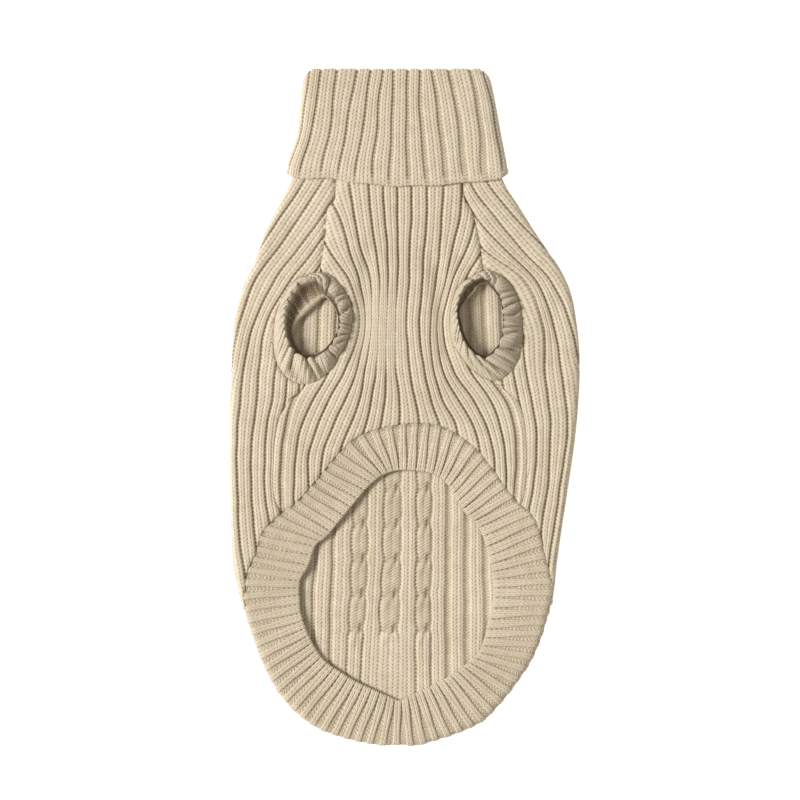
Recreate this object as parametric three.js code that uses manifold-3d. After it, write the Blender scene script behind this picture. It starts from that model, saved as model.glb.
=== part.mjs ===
// A dog's knitted turtleneck sweater, laid flat with its belly side up. Millimetres, +Z up,
// +Y toward the collar, +X to the right of a viewer above. It rests on z = 0.
import * as THREE from 'three';
import { mergeVertices } from 'three/addons/utils/BufferGeometryUtils.js';
import Module from 'manifold-3d';

const wasm = await Module();
wasm.setup();

// Driving sizes
const WALL = 2;                 // the cloth between two ribs
const RIB_RISE = 1.2;           // how far a rib stands out from its valleys
const RIB_SHOULDERS = [0.28, 0.72];     // across a rib, where its flat top begins and ends
const SEAM_GAP = 0.3;           // room left between two pieces at a seam
const SIDE_UNDER = 5.6;         // underside of the top layer at the side folds
const PUFF = 0.9;               // how much more the top layer stands up in the middle
const PUFF_REACH = 75;          // half the width over which it does
const NECK_LIFT = 3;            // how far the neck stands on the collar's lower layer
const NECK_UNDER = 6.8;         // underside of the top layer at the neck
const NECK_RISE = 0.8;          // how far the ribs stand out inside the collar
const RAMP_LOW = 130;           // the neck's lift begins here
const RAMP_HIGH = 144;          // and is complete here
const NECK_SEAM = 161;          // the body's upper edge
const BACK_END = -206;          // the back's blank ends here, before it is cut to shape
const ROW_STEP = 11.5;          // rows of points along the body
const COLLAR_HEIGHT = 12.4;     // the collar's four layers, between two ribs
const COLLAR_TOP = 211;         // its folded upper edge
const COLLAR_CORNER = 5;        // how far its upper corners are rounded down
const COLLAR_SCALLOP = 0.6;     // each rib's rise in the upper edge
const COLLAR_WALL = 2.4;
const COLLAR_INNER = 2.9;       // depth at which its inner layer begins
const COLLAR_ROLL = [4, 0.5];   // its edges round over this height, by this depth
const COLLAR_UNDER = [0.985, 0.93, 0.75, 0.5, 0.25, 0.07, 0.015];   // points across its underside
const BAND_RIBS = 78;           // ribs round the hem band
const BAND_EDGE = 6.5;          // height of the band's free edge, between ribs
const BAND_FOLD = 3.7;          // radius of the band where it turns under
const BAND_RETURN = 3.4;        // how far it runs back under itself
const BAND_RISE = 1;
const RIM = 0.4;                // the last of the band's width, past its fold
const SEWN_BEND = 0.1;          // where it is sewn on top it bends only this much, in radians
const SEWN_RADIUS = 15;
const GATHERS = 18;             // gathers round a leg cuff
const GATHER_RISE = 0.8;
const CUFF_TOP = 15;            // height of a cuff's rim
const CUFF_WALL = 1.8;
const CUFF_FOOT = 0.6;          // height of its inner layer's lower edge
const CUFF_SHOULDER = [0.3, 0.72];      // share of the way in, and of the way up, to its shoulder
const CUFF_LEDGE = 0.35;        // share of the way up to where the inner layer turns
const SLIVER = 0.03;            // details smaller than this that a cut leaves are dropped
const WELD = 0.03;
const CAP_SLACK = 1e-5;
const BLANK_SPARE = 12;         // how far a panel's blank runs past its seams
const FLAP_SPARE = 7;
const UNDER_START = 4;          // the back's ribs run this far past the side folds, underneath
const UNDER_SHARES = [0.25, 0.5, 0.75]; // points across the underside
const INNER_TURNS = [0.35, -0.35];      // points inside a side fold, as shares of a half turn
const INNER_MARGIN = 0.3;       // share of the room beside the inside's ribs that stays flat
const PANEL_SPANS = 8;          // spans across the underside of the belly
const FAR = 140;                // reaches past the garment on every side

// Makes named rows from a line of column names and rows of numbers.
function table(names, rows) {
  const columns = names.trim().split(/\s+/);
  return rows.map((row) => Object.fromEntries(columns.map((name, i) => [name, row[i]])));
}

// Outline of the body seen from above, from the neck to the hem.
const OUTLINE = table('y left right', [
  [161, -66.5, 58],
  [152, -69.5, 60],
  [142, -71, 61.5],
  [126.5, -78.5, 71],
  [113.5, -85.5, 79],
  [101.5, -90, 87],
  [88.5, -95, 96],
  [74.5, -101.5, 103],
  [53.5, -106.5, 107.5],
  [23.5, -108.5, 109.5],
  [-15.5, -109.5, 107],
  [-51.5, -109, 102],
  [-95.5, -107.5, 95.5],
  [-114, -104, 93.5],
  [-128, -100.5, 91],
  [-143, -95, 86.5],
  [-156.5, -90.5, 79.5],
  [-174, -81, 69],
  [-190, -68, 56],
  [-206, -44, 24],
]);

// Seams between the back, which wraps round both sides, and the belly.
const SEAMS = table('y left right', [
  [165, -43.5, 36.5],
  [130, -43.5, 37.5],
  [124.5, -48, 41.5],
  [106.5, -49.5, 46.5],
  [84.5, -53, 49.5],
  [14, -62, 60],
  [4.5, -71.5, 70.5],
  [-11, -79.5, 75.5],
  [-42, -82, 76.5],
  [-58, -80.5, 74],
  [-72, -72, 68],
]);

// Valleys between the belly's ribs, left to right, at each height.
const BELLY = table('y v1 v2 v3 v4 v5 v6 v7 v8 v9 v10 v11 v12 v13 v14 v15', [
  [161, -84, -74.5, -65.5, -54, -34.5, -22, -13, -4.5, 4.5, 14.5, 24.5, 36, 46, 56.5, 69],
  [138, -81, -71.5, -62, -49.5, -34, -22, -13, -4.5, 4.5, 14.5, 24.5, 36, 46, 56.5, 69],
  [117, -74.5, -65.5, -56, -39.5, -30.5, -20.5, -12, -4, 4.5, 14, 23.5, 34.5, 44, 54.5, 67],
  [98.5, -68.5, -59, -47, -34.5, -27, -17.5, -10.5, -4, 3.5, 12.5, 22, 30, 39, 48.5, 63],
  [79.5, -61.5, -49.5, -34.5, -28, -21, -15.5, -10, -4, 3, 11.5, 20, 26, 30, 38.5, 56.5],
  [51.5, -51.5, -41.5, -27.5, -24.5, -20.5, -16, -11, -5.5, 1.5, 9.5, 16.5, 20.5, 24, 33.5, 50.5],
  [23.5, -58.5, -46.5, -37, -29.5, -24.5, -17.5, -11.5, -5, 3.5, 12.5, 18.5, 24, 30.5, 41, 52],
  [4.5, -69, -57, -47, -37, -28, -20.5, -12, -3, 7, 17, 24, 34, 43.5, 54, 64],
  [-11, -73, -64, -54, -44, -33.5, -24, -14.5, -3, 9.5, 22, 32.5, 43, 51, 60, 69.5],
  [-29.5, -76, -67.5, -59.5, -51, -40.5, -30.5, -20.5, -5.5, 9, 23, 34.5, 48, 56, 63, 71],
  [-51.5, -76.5, -69, -59.5, -52, -43, -34, -24, -8, 8.5, 23, 36, 49, 57, 64, 69.5],
  [-72, -75, -68, -59, -51.5, -43, -34, -24, -8, 8.5, 23, 36, 49, 57, 64, 68],
]);

// Valleys between the back's ribs where it shows on top, from the seam out to the fold.
// One past the outline has run round the fold and lies underneath.
const FLAPS = table('y l5 l4 l3 l2 l1 r5 r4 r3 r2 r1', [
  [161, -6, -18.5, -29.5, -40.5, -51.5, 16, 22, 27, 33, 42],
  [138, -20.5, -31, -39.5, -53, -64.5, 22, 29.5, 34.5, 42.5, 53.5],
  [117, -34, -44, -53, -66.5, -78.5, 29.5, 38.5, 46, 58.5, 71],
  [98.5, -45.5, -56, -66.5, -79.5, -90.5, 39.5, 50, 63.5, 73.5, 88.5],
  [79.5, -59, -71, -81, -93, -101, 53.5, 75, 82, 91.5, 102],
  [51.5, -74, -86.5, -94, -103, -112, 72, 86.5, 93.5, 104, 112],
  [23.5, -80.5, -90.5, -100.5, -108, -118, 76, 88, 98, 109.5, 117],
  [4.5, -82.5, -92, -102, -111.5, -120, 79.5, 90, 101, 111, 118],
  [-11, -85.5, -94, -104, -112, -121, 82.5, 91.5, 102, 110.5, 118],
  [-29.5, -87, -95.5, -104.5, -112, -121, 82.5, 91, 100.5, 108, 116],
  [-51.5, -87, -95.5, -104, -111.5, -120, 80.5, 89.5, 97, 105.5, 113],
  [-70.5, -84.5, -94, -103.5, -111, -119, 77, 86.5, 94.5, 103.5, 111],
  [-95.5, -81, -92, -101, -109.5, -118, 74.5, 84.5, 90.5, 99.5, 107],
  [-120, -78, -89, -96.5, -106, -114, 72, 82, 86, 94.5, 102],
]);
const FLAP_END = -120;          // the lowest the back shows on top
const SEAM_END = -72;           // the seams end here, at the band
const LEFT_WRAP = [-98.5, -126.5];      // where the side folds end, at the band
const RIGHT_WRAP = [90.5, -121.5];

// Valleys on the inside of the back. Three of the columns between them are cables.
const INSIDE = table('y i1 i2 i3 i4 i5 i6 i7 i8 i9 i10 i11 i12 i13', [
  [161, -50, -41, -34, -28, -20, -10, -1, 8, 17, 26, 34, 42, 48],
  [60, -64, -53, -42, -31, -22, -11, -2, 8, 17, 28, 39.5, 50, 61],
  [-95, -66.5, -55.5, -44.5, -33, -23, -13.5, -2, 7.5, 17, 27.5, 39, 50.5, 62],
  [-120, -68, -57, -45.5, -34, -24, -15, -3, 7, 16.5, 27, 39, 51.5, 63],
  [-206, -70, -58, -48, -38.5, -30, -18, -4, 7.5, 17, 28, 39.5, 50, 61.5],
]);
const CABLES = ['i4', 'i6', 'i8'];      // each cable lies right of this valley
const CABLE_CROSSING = 22;              // from one crossing to the next
const CABLE_SWAY = 1.2;
const CABLE_RISE = 0.6;                 // a cable's back stands up this share of a rib
const CABLE_END = -140;                 // below this they are plain ribs

// The hem band, clockwise from the middle of the belly: its free edge, its outer edge, and how
// far it has turned under there (0 is sewn to a panel on top, 1 is folded right round).
const BAND = table('freeX freeY outX outY turned', [
  [-1, -39, -1, -10.5, 0],
  [16.5, -41, 22.5, -11.5, 0],
  [26, -47, 42, -23, 0],
  [31.5, -56, 53, -35.5, 0],
  [37, -64.5, 61, -46.5, 0],
  [44, -71.5, 70, -58.5, 0],
  [48, -78, 79, -66, 0],
  [52, -89.5, 84, -76, 0],
  [54.5, -99.5, 87.5, -91, 0],
  [55.5, -107.5, 91, -104.5, 0],
  [55.5, -118.5, 92.5, -119, 0.2],
  [52, -136, 88.5, -134.5, 1],
  [48.5, -148.5, 82.5, -151.5, 1],
  [44, -156, 74.5, -166, 1],
  [34, -163.5, 59.5, -185.5, 1],
  [23.5, -170.5, 44, -199, 1],
  [4, -180, 11, -210.5, 1],
  [-3, -183, -3, -211, 1],
  [-12, -179.5, -20.5, -210.5, 1],
  [-28.5, -172, -45, -204.5, 1],
  [-39.5, -165.5, -61.5, -196, 1],
  [-51.5, -156.5, -77, -181, 1],
  [-59.5, -143, -88.5, -160.5, 1],
  [-64.5, -129, -97, -138, 1],
  [-65.5, -118, -100.5, -123.5, 0.3],
  [-65.5, -112, -99.5, -112.5, 0],
  [-64.5, -106.5, -98, -102, 0],
  [-60, -99, -93, -92, 0],
  [-55.5, -86.5, -88.5, -78, 0],
  [-49, -81, -76, -65.5, 0],
  [-43.5, -74.5, -66.5, -58.5, 0],
  [-28, -55.5, -51.5, -41.5, 0],
  [-19.5, -46.5, -43.5, -31.5, 0],
  [-12, -41.5, -27.5, -17.5, 0],
]);

// The leg cuffs, clockwise from the raglan seam: the seam they stand on, the crest of the rim,
// and the lower edge of the turned-in inner layer.
const LEFT_CUFF = table('seamX seamY rimX rimY innerX innerY', [
  [-53, 84.5, -54.5, 80.5, -51, 68],
  [-44.5, 82, -49, 74.5, -49, 68.5],
  [-38.5, 74.5, -44.5, 71.5, -46.5, 66],
  [-33.5, 65.5, -41.5, 65.5, -43.5, 61.5],
  [-32.5, 56, -39.5, 58, -41.5, 56],
  [-34, 46, -40.5, 48, -42, 48],
  [-38.5, 35.5, -44.5, 39.5, -46.5, 40.5],
  [-45.5, 24, -50.5, 33, -51.5, 35.5],
  [-55.5, 16, -56.5, 30.5, -57, 33.5],
  [-66.5, 15, -64, 31, -63, 34],
  [-76, 21, -70.5, 36, -67, 38.5],
  [-81, 32, -74, 44.5, -69.5, 44.5],
  [-82, 44.5, -75, 53.5, -69, 49],
  [-80.5, 58, -74, 63, -66, 54],
  [-75.5, 69.5, -70.5, 72, -61, 59],
  [-68, 79.5, -64.5, 79.5, -55.5, 64],
]);
const RIGHT_CUFF = table('seamX seamY rimX rimY innerX innerY', [
  [49.5, 85.5, 46.5, 81, 47, 73.5],
  [58, 84, 53, 80, 52, 74.5],
  [65.5, 79, 57, 75.5, 56, 71.5],
  [71.5, 71.5, 61, 69, 59, 67],
  [75.5, 61, 62.5, 61.5, 60.5, 61],
  [77.5, 48.5, 63, 50.5, 60.5, 50.5],
  [77, 36.5, 61, 40.5, 59, 41],
  [72, 26, 56, 33.5, 54.5, 35.5],
  [63.5, 18, 51, 30.5, 50.5, 33],
  [53.5, 16.5, 45.5, 32, 46.5, 34.5],
  [42, 22, 40, 36.5, 43.5, 39],
  [33, 30.5, 36, 43, 40.5, 45.5],
  [27, 41.5, 34, 51.5, 38.5, 53.5],
  [26, 54.5, 33, 61, 38.5, 61],
  [28, 66.5, 34.5, 69, 39.5, 66.5],
  [34, 77, 38.5, 77, 43.5, 70.5],
]);

// The collar: its outline and the valleys between its ribs, at each height.
const COLLAR = table('y left v1 v2 v3 v4 v5 v6 v7 v8 v9 v10 v11 v12 v13 right', [
  [211, -63, -59, -51.5, -42, -29, -20.5, -13, -6.5, 2.5, 10, 17.5, 27.5, 41, 49, 52.5],
  [192, -65, -61.5, -54.5, -44, -33, -23.5, -15.5, -7, 2, 10, 20.5, 32, 45.5, 54, 56.5],
  [170, -67.5, -65, -58, -46.5, -36.5, -26, -17, -7.5, 2, 11.5, 23.5, 35.5, 48.5, 58, 60.5],
  [152, -73, -71, -64, -51, -40, -30, -19.5, -8.5, 2.5, 13.5, 25.5, 37, 49.5, 61, 64],
  [138, -76, -73.5, -66, -53, -42, -31, -19.5, -9, 3, 14.5, 27, 39, 51, 62.5, 66],
]);
const COLLAR_EDGE = table('x y', [
  [-76, 146.5],
  [-70, 143.5],
  [-45, 142.5],
  [-25, 139.5],
  [0, 138],
  [25, 139],
  [50, 141.5],
  [60, 142.5],
  [66, 146.5],
]);
const COLLAR_BACK_EDGE = 147.5;
const COLLAR_MIDDLE = 175;

// A smooth value between the rows of a table: one column, at a place along another.
function along(rows, key, at, place = 'y') {
  const sign = rows[rows.length - 1][place] > rows[0][place] ? 1 : -1;
  let i = 0;
  while (i < rows.length - 2 && sign * at > sign * rows[i + 1][place]) {
    i += 1;
  }
  const [a, b] = [rows[i], rows[i + 1]];
  const span = b[place] - a[place];
  const t = THREE.MathUtils.clamp((at - a[place]) / span, 0, 1);
  const slope = (p, q) => (q[key] - p[key]) / (q[place] - p[place]);
  const before = i > 0 ? slope(rows[i - 1], b) : slope(a, b);
  const after = i < rows.length - 2 ? slope(a, rows[i + 2]) : slope(a, b);
  const [t2, t3] = [t * t, t * t * t];
  return (2 * t3 - 3 * t2 + 1) * a[key] + (t3 - 2 * t2 + t) * span * before
    + (3 * t2 - 2 * t3) * b[key] + (t3 - t2) * span * after;
}

// A smooth value round a table whose last row leads back to its first.
function around(rows, key, turn) {
  const place = THREE.MathUtils.euclideanModulo(turn, 1) * rows.length;
  const i = Math.floor(place);
  const t = place - i;
  const at = (step) => rows[(i + step + rows.length) % rows.length][key];
  const [p, q, r, s] = [at(-1), at(0), at(1), at(2)];
  return q + 0.5 * t * (r - p + t * (2 * p - 5 * q + 4 * r - s + t * (3 * (q - r) + s - p)));
}

const mix = THREE.MathUtils.lerp;
const step = THREE.MathUtils.smoothstep;

// Heights of the body's layers.
const neckShare = (y) => step(y, RAMP_LOW, RAMP_HIGH);
const floorOf = (y) => NECK_LIFT * neckShare(y);
const riseAt = (y) => mix(RIB_RISE, NECK_RISE, neckShare(y));
function underTop(x, y) {
  const across = Math.min(1, Math.abs(x) / PUFF_REACH);
  const bodyUnder = SIDE_UNDER + PUFF * (1 - across * across);
  return mix(bodyUnder, NECK_UNDER, neckShare(y));
}

// A geometry from points and triangles, turned to face outward.
function geometryOf(points, faces) {
  const geometry = new THREE.BufferGeometry();
  geometry.setAttribute('position', new THREE.Float32BufferAttribute(points.flat(), 3));
  let volume = 0;
  const corners = [new THREE.Vector3(), new THREE.Vector3(), new THREE.Vector3()];
  for (const face of faces) {
    face.forEach((index, i) => corners[i].fromArray(points[index]));
    volume += corners[0].dot(corners[1].clone().cross(corners[2]));
  }
  const facing = volume < 0 ? faces.map(([a, b, c]) => [a, c, b]) : faces;
  geometry.setIndex(facing.flat());
  return geometry;
}

// A ring of sections, each a closed loop of the same number of points.
function ringOf(sections) {
  const count = sections.length;
  const size = sections[0].length;
  const faces = [];
  for (let i = 0; i < count; i += 1) {
    for (let j = 0; j < size; j += 1) {
      const a = i * size + j;
      const b = i * size + (j + 1) % size;
      const c = ((i + 1) % count) * size + (j + 1) % size;
      const d = ((i + 1) % count) * size + j;
      faces.push([a, b, c], [a, c, d]);
    }
  }
  return geometryOf(sections.flat(), faces);
}

// How far along a line of points each one is, from 0 to 1.
function shares(line) {
  const sums = [0];
  for (let i = 1; i < line.length; i += 1) {
    sums.push(sums[i - 1] + Math.hypot(...line[i].map((value, k) => value - line[i - 1][k])));
  }
  return sums.map((sum) => sum / sums[sums.length - 1]);
}

// A wall between two sheets of points. They have the same rows, and any number of columns.
function wallOf(outer, inner) {
  const [wide, narrow] = [outer[0].length, inner[0].length];
  const rows = outer.length;
  const start = rows * wide;
  const faces = [];
  const sheet = (from, columns, flip) => {
    for (let r = 0; r < rows - 1; r += 1) {
      for (let c = 0; c < columns - 1; c += 1) {
        const a = from + r * columns + c;
        const quad = [[a, a + 1, a + columns + 1], [a, a + columns + 1, a + columns]];
        faces.push(...quad.map(([p, q, s]) => (flip ? [p, s, q] : [p, q, s])));
      }
    }
  };
  sheet(0, wide, false);
  sheet(start, narrow, true);
  for (let r = 0; r < rows - 1; r += 1) {
    const [a, b] = [r * wide, start + r * narrow];
    faces.push([a, a + wide, b], [a + wide, b + narrow, b]);
    const [c, d] = [a + wide - 1, b + narrow - 1];
    faces.push([c, d, c + wide], [c + wide, d, d + narrow]);
  }
  for (const r of [0, rows - 1]) {
    const across = (m, n) => Math.hypot(...outer[r][m].map((value, k) => value - inner[r][n][k]));
    let [i, j] = [0, 0];
    while (i < wide - 1 || j < narrow - 1) {
      const [a, b] = [r * wide + i, start + r * narrow + j];
      const stepA = j === narrow - 1 || (i < wide - 1 && across(i + 1, j) <= across(i, j + 1));
      const face = stepA ? [a, b, a + 1] : [a, b, b + 1];
      faces.push(r === 0 ? face : [face[0], face[2], face[1]]);
      if (stepA) {
        i += 1;
      } else {
        j += 1;
      }
    }
  }
  return geometryOf([...outer.flat(), ...inner.flat()], faces);
}

function solidOf(source) {
  const bare = source.clone();
  bare.deleteAttribute('normal');
  bare.deleteAttribute('uv');
  const merged = mergeVertices(bare, 1e-4);
  return new wasm.Manifold(new wasm.Mesh({
    numProp: 3,
    vertProperties: merged.attributes.position.array,
    triVerts: new Uint32Array(merged.index.array),
  }));
}

// The largest body of a solid, as a geometry. Corners that a cut leaves closer together than
// WELD become one.
function geometryFrom(solid) {
  const bodies = solid.simplify(SLIVER).decompose();
  bodies.sort((a, b) => b.volume() - a.volume());
  const mesh = bodies[0].getMesh();
  const points = [];
  const names = [];
  for (let i = 0; i < mesh.vertProperties.length; i += 3) {
    const point = Array.from(mesh.vertProperties.slice(i, i + 3));
    const near = points.findIndex((other) => (
      Math.hypot(...other.map((value, k) => value - point[k])) < WELD));
    names.push(near < 0 ? points.length : near);
    if (near < 0) {
      points.push(point);
    }
  }
  const faces = [];
  for (let i = 0; i < mesh.triVerts.length; i += 3) {
    const face = [0, 1, 2].map((k) => names[mesh.triVerts[i + k]]);
    if (new Set(face).size === 3) {
      faces.push(face);
    }
  }
  flattenCaps(points, faces);
  return geometryOf(points, faces);
}

// Turns each face whose middle corner lies on its longest edge into part of the face beyond.
function flattenCaps(points, faces) {
  const apart = (a, b) => Math.hypot(...points[a].map((value, k) => value - points[b][k]));
  for (let i = 0; i < faces.length; i += 1) {
    const [a, b, c] = faces[i];
    const turns = [[a, b, c], [b, c, a], [c, a, b]];
    const [p, q, middle] = turns.sort((m, n) => apart(n[0], n[1]) - apart(m[0], m[1]))[0];
    if (apart(p, middle) + apart(middle, q) - apart(p, q) < CAP_SLACK) {
      const other = faces.findIndex((face) => [0, 1, 2].some((k) => (
        face[k] === q && face[(k + 1) % 3] === p)));
      const far = faces[other].find((corner) => corner !== p && corner !== q);
      faces[i] = [p, far, middle];
      faces[other] = [far, q, middle];
    }
  }
}

// An upright block over a plan outline.
function blockOver(plan, low, high) {
  const shape = new THREE.Shape(plan.map(([x, y]) => new THREE.Vector2(x, y)));
  const geometry = new THREE.ExtrudeGeometry(shape, { depth: high - low, bevelEnabled: false });
  geometry.translate(0, 0, low);
  return solidOf(geometry);
}

// Moves a closed plan outline out by a distance, square to its own line.
function grown(plan, distance) {
  const area = plan.reduce((sum, [x, y], i) => {
    const [nextX, nextY] = plan[(i + 1) % plan.length];
    return sum + x * nextY - nextX * y;
  }, 0);
  const side = Math.sign(area) * distance;
  return plan.map(([x, y], i) => {
    const before = plan[(i + plan.length - 1) % plan.length];
    const after = plan[(i + 1) % plan.length];
    const [dx, dy] = [after[0] - before[0], after[1] - before[1]];
    const length = Math.hypot(dx, dy);
    return [x + side * dy / length, y - side * dx / length];
  });
}

function rowsBetween(high, low) {
  const count = Math.ceil((high - low) / ROW_STEP);
  return Array.from({ length: count + 1 }, (_, i) => mix(high, low, i / count));
}

// Columns of points over ribs: each valley, then the two shoulders of the rib beside it.
function ribColumns(valleys) {
  const columns = [];
  valleys.slice(0, -1).forEach((valley, i) => {
    const next = valleys[i + 1];
    columns.push({ at: valley, rise: 0 });
    columns.push(...RIB_SHOULDERS.map((share) => ({ at: mix(valley, next, share), rise: 1 })));
  });
  columns.push({ at: valleys[valleys.length - 1], rise: 0 });
  return columns;
}

const tableKeys = (rows, letter) => Object.keys(rows[0]).filter((key) => key.startsWith(letter));

// The hem band. A section runs from the free edge to the outer edge, and on round the fold.
function bandSection(turn, rise, grow) {
  const at = (key) => around(BAND, key, turn);
  const [freeX, freeY, outX, outY] = [at('freeX'), at('freeY'), at('outX'), at('outY')];
  const turned = THREE.MathUtils.clamp(at('turned'), 0, 1);
  const width = Math.hypot(outX - freeX, outY - freeY);
  const [dirX, dirY] = [(outX - freeX) / width, (outY - freeY) / width];
  const bend = Math.max(Math.PI * turned, SEWN_BEND);
  const bendRadius = mix(BAND_FOLD, SEWN_RADIUS, (1 - turned) ** 8);
  const sewnTop = underTop(outX, outY) + WALL;
  const top = mix(sewnTop, 2 * BAND_FOLD, Math.min(1, turned * 2));
  const foldAt = width - RIM * (1 - turned) - bendRadius * Math.sin(Math.min(bend, Math.PI / 2));
  const place = (flat, height) => [freeX + dirX * flat, freeY + dirY * flat, height];
  const level = (share) => mix(BAND_EDGE, top, step(share, 0, 1));
  const onFold = (share, inset) => {
    const angle = bend * share;
    const radius = bendRadius - inset;
    return place(foldAt + radius * Math.sin(angle), top - bendRadius + radius * Math.cos(angle));
  };
  const afterFold = (inset, lowest) => {
    const end = onFold(1, inset);
    const run = BAND_RETURN * turned + RIM + grow;
    return [end[0] + dirX * Math.cos(bend) * run, end[1] + dirY * Math.cos(bend) * run,
      Math.max(lowest, end[2] - Math.sin(bend) * run)];
  };
  const fade = (share) => rise * Math.max(0, Math.cos(bend * share));
  return [
    place(-grow, BAND_EDGE + 0.6 * rise + grow),
    place(0.1 * foldAt, level(0.1) + rise + grow),
    place(0.6 * foldAt, level(0.6) + rise + grow),
    onFold(0, -rise - grow),
    onFold(0.35, -fade(0.35) - grow),
    onFold(0.7, -fade(0.7) - grow),
    onFold(1, -grow - fade(1)),
    afterFold(-grow - fade(1), 0),
    afterFold(WALL + grow, WALL),
    onFold(0.5, WALL + grow),
    onFold(0, WALL + grow),
    place(-grow, BAND_EDGE - WALL - grow),
  ];
}

function bandTurns() {
  return evenTurns(BAND, BAND_RIBS * 2, (row) => [
    (row('freeX') + row('outX')) / 2,
    (row('freeY') + row('outY')) / 2,
  ]);
}

function hemBand(grow = 0) {
  return ringOf(bandTurns().map((turn, i) => bandSection(turn, (i % 2) * BAND_RISE, grow)));
}

// Turns round a closed table at equal distances along a line worked out from its rows.
function evenTurns(rows, count, lineOf) {
  const fine = 720;
  const line = [];
  for (let i = 0; i <= fine; i += 1) {
    line.push(lineOf((key) => around(rows, key, i / fine)));
  }
  const passed = shares(line);
  let at = 0;
  return Array.from({ length: count }, (_, k) => {
    while (passed[at + 1] < k / count) {
      at += 1;
    }
    const part = (k / count - passed[at]) / (passed[at + 1] - passed[at]);
    return (at + part) / fine;
  });
}

// A leg cuff: gathered cloth that rises from the armhole, turns over its rim and runs back in.
function cuffTurns(rows) {
  return evenTurns(rows, GATHERS * 2, (row) => [row('rimX'), row('rimY')]);
}

function legCuff(rows) {
  return ringOf(cuffTurns(rows).map((turn, i) => {
    const at = (key) => around(rows, key, turn);
    const seam = [at('seamX'), at('seamY')];
    const rim = [at('rimX'), at('rimY')];
    const inner = [at('innerX'), at('innerY')];
    const rise = GATHER_RISE * (i % 2 ? 1 : -1);
    const base = underTop(...seam);
    const toward = (from, to, distance) => {
      const length = Math.hypot(to[0] - from[0], to[1] - from[1]);
      return from.map((value, k) => value + (to[k] - value) * distance / length);
    };
    const between = (share) => seam.map((value, k) => mix(value, rim[k], share));
    const low = base + WALL;
    return [
      [...seam, base],
      [...between(0.02), low + 1],
      [...toward(between(CUFF_SHOULDER[0]), seam, rise / 2),
        mix(low, CUFF_TOP, CUFF_SHOULDER[1]) + rise / 2],
      [...rim, CUFF_TOP + rise],
      [...inner, mix(base, CUFF_TOP, CUFF_LEDGE)],
      [...inner, base + CUFF_FOOT],
      [...toward(inner, rim, CUFF_WALL), base],
      [...rim, CUFF_TOP - CUFF_WALL - GATHER_RISE],
      [...toward(seam, rim, CUFF_WALL), base],
    ];
  }));
}

// The collar, turned down over itself: an outer layer, a fold at the top and an inner layer
// that runs down to the neck seam. Its cross-section is a flat tube, round at both sides.
function collar() {
  const half = COLLAR_HEIGHT / 2;
  const stations = [];
  const keys = ['left', ...tableKeys(COLLAR, 'v'), 'right'];
  keys.slice(0, -1).forEach((key, i) => {
    const next = keys[i + 1];
    stations.push({ x: (y) => along(COLLAR, key, y), rise: 0, front: true });
    for (const share of RIB_SHOULDERS) {
      const x = (y) => mix(along(COLLAR, key, y), along(COLLAR, next, y), share);
      stations.push({ x, rise: 1, front: true });
    }
  });
  stations.push({ x: (y) => along(COLLAR, 'right', y), rise: 0, front: true });
  for (const share of COLLAR_UNDER) {
    const x = (y) => mix(along(COLLAR, 'left', y), along(COLLAR, 'right', y), share);
    stations.push({ x, rise: 0, front: false });
  }
  return ringOf(stations.map((station) => {
    const place = (y, depth, rise = 0) => {
      const [left, right] = [along(COLLAR, 'left', y), along(COLLAR, 'right', y)];
      const x = station.x(y);
      const fromEnd = Math.min(x - left, right - x, half);
      const centre = x < (left + right) / 2 ? left + half : right - half;
      const level = Math.sqrt(Math.max(0, 1 - (1 - fromEnd / half) ** 2));
      const out = half - depth + rise * level;
      const shift = fromEnd < half ? centre + (x - centre) * (half - depth + rise * level) / half : x;
      return [shift, y, half + (station.front ? 1 : -1) * level * out];
    };
    const middle = station.x(COLLAR_BACK_EDGE);
    const edge = station.front ? along(COLLAR_EDGE, 'y', middle, 'x') : COLLAR_BACK_EDGE;
    const rise = station.rise;
    const fromLeft = station.x(COLLAR_TOP) - COLLAR[0].left;
    const fromRight = COLLAR[0].right - station.x(COLLAR_TOP);
    const nearSide = Math.min(1, fromLeft / half, fromRight / half);
    const top = COLLAR_TOP - COLLAR_CORNER * (1 - nearSide) ** 2 + COLLAR_SCALLOP * rise;
    const inner = COLLAR_INNER + WALL;
    const [roll, depth] = COLLAR_ROLL;
    return [
      place(edge, depth, rise),
      place(edge + roll, 0, rise),
      place(COLLAR_MIDDLE, 0, rise),
      place(top - roll, 0, rise),
      place(top - roll / 4, 2 * depth, rise),
      place(top, COLLAR_INNER - depth),
      place(top - COLLAR_WALL, inner),
      place(NECK_SEAM + SEAM_GAP, inner),
      place(NECK_SEAM + SEAM_GAP, COLLAR_INNER),
      place(top - 1.5 * roll, (COLLAR_WALL + COLLAR_INNER) / 2),
      place(edge, COLLAR_WALL),
    ];
  }));
}

// Plan outlines that cut the panels.
const bandCut = grown(bandTurns().map((turn) => [
  around(BAND, 'outX', turn),
  around(BAND, 'outY', turn),
]), SEAM_GAP);
const cuffCuts = [LEFT_CUFF, RIGHT_CUFF].map((rows) => grown(cuffTurns(rows).map((turn) => [
  around(rows, 'seamX', turn),
  around(rows, 'seamY', turn),
]), SEAM_GAP));

function seamPlan(reach) {
  const left = SEAMS.map((row) => [row.left - reach, row.y]);
  const right = SEAMS.map((row) => [row.right + reach, row.y]).reverse();
  return [...left, ...right];
}

// Everything above the inside of the back that the belly, the cuffs and the band take up.
function topLayerCut(low, high, reach) {
  const block = (plan) => blockOver(plan, low, high);
  return block(seamPlan(reach)).add(block(cuffCuts[0])).add(block(cuffCuts[1])).add(block(bandCut));
}

const CUT_TOP = 30;
const CUT_LOW = 4.3;            // between the back's inside and the layer above it
const NECK_CUT_LOW = 6.2;       // the same at the neck
const CUT_CHANGE = 132;         // where one gives way to the other

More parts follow.
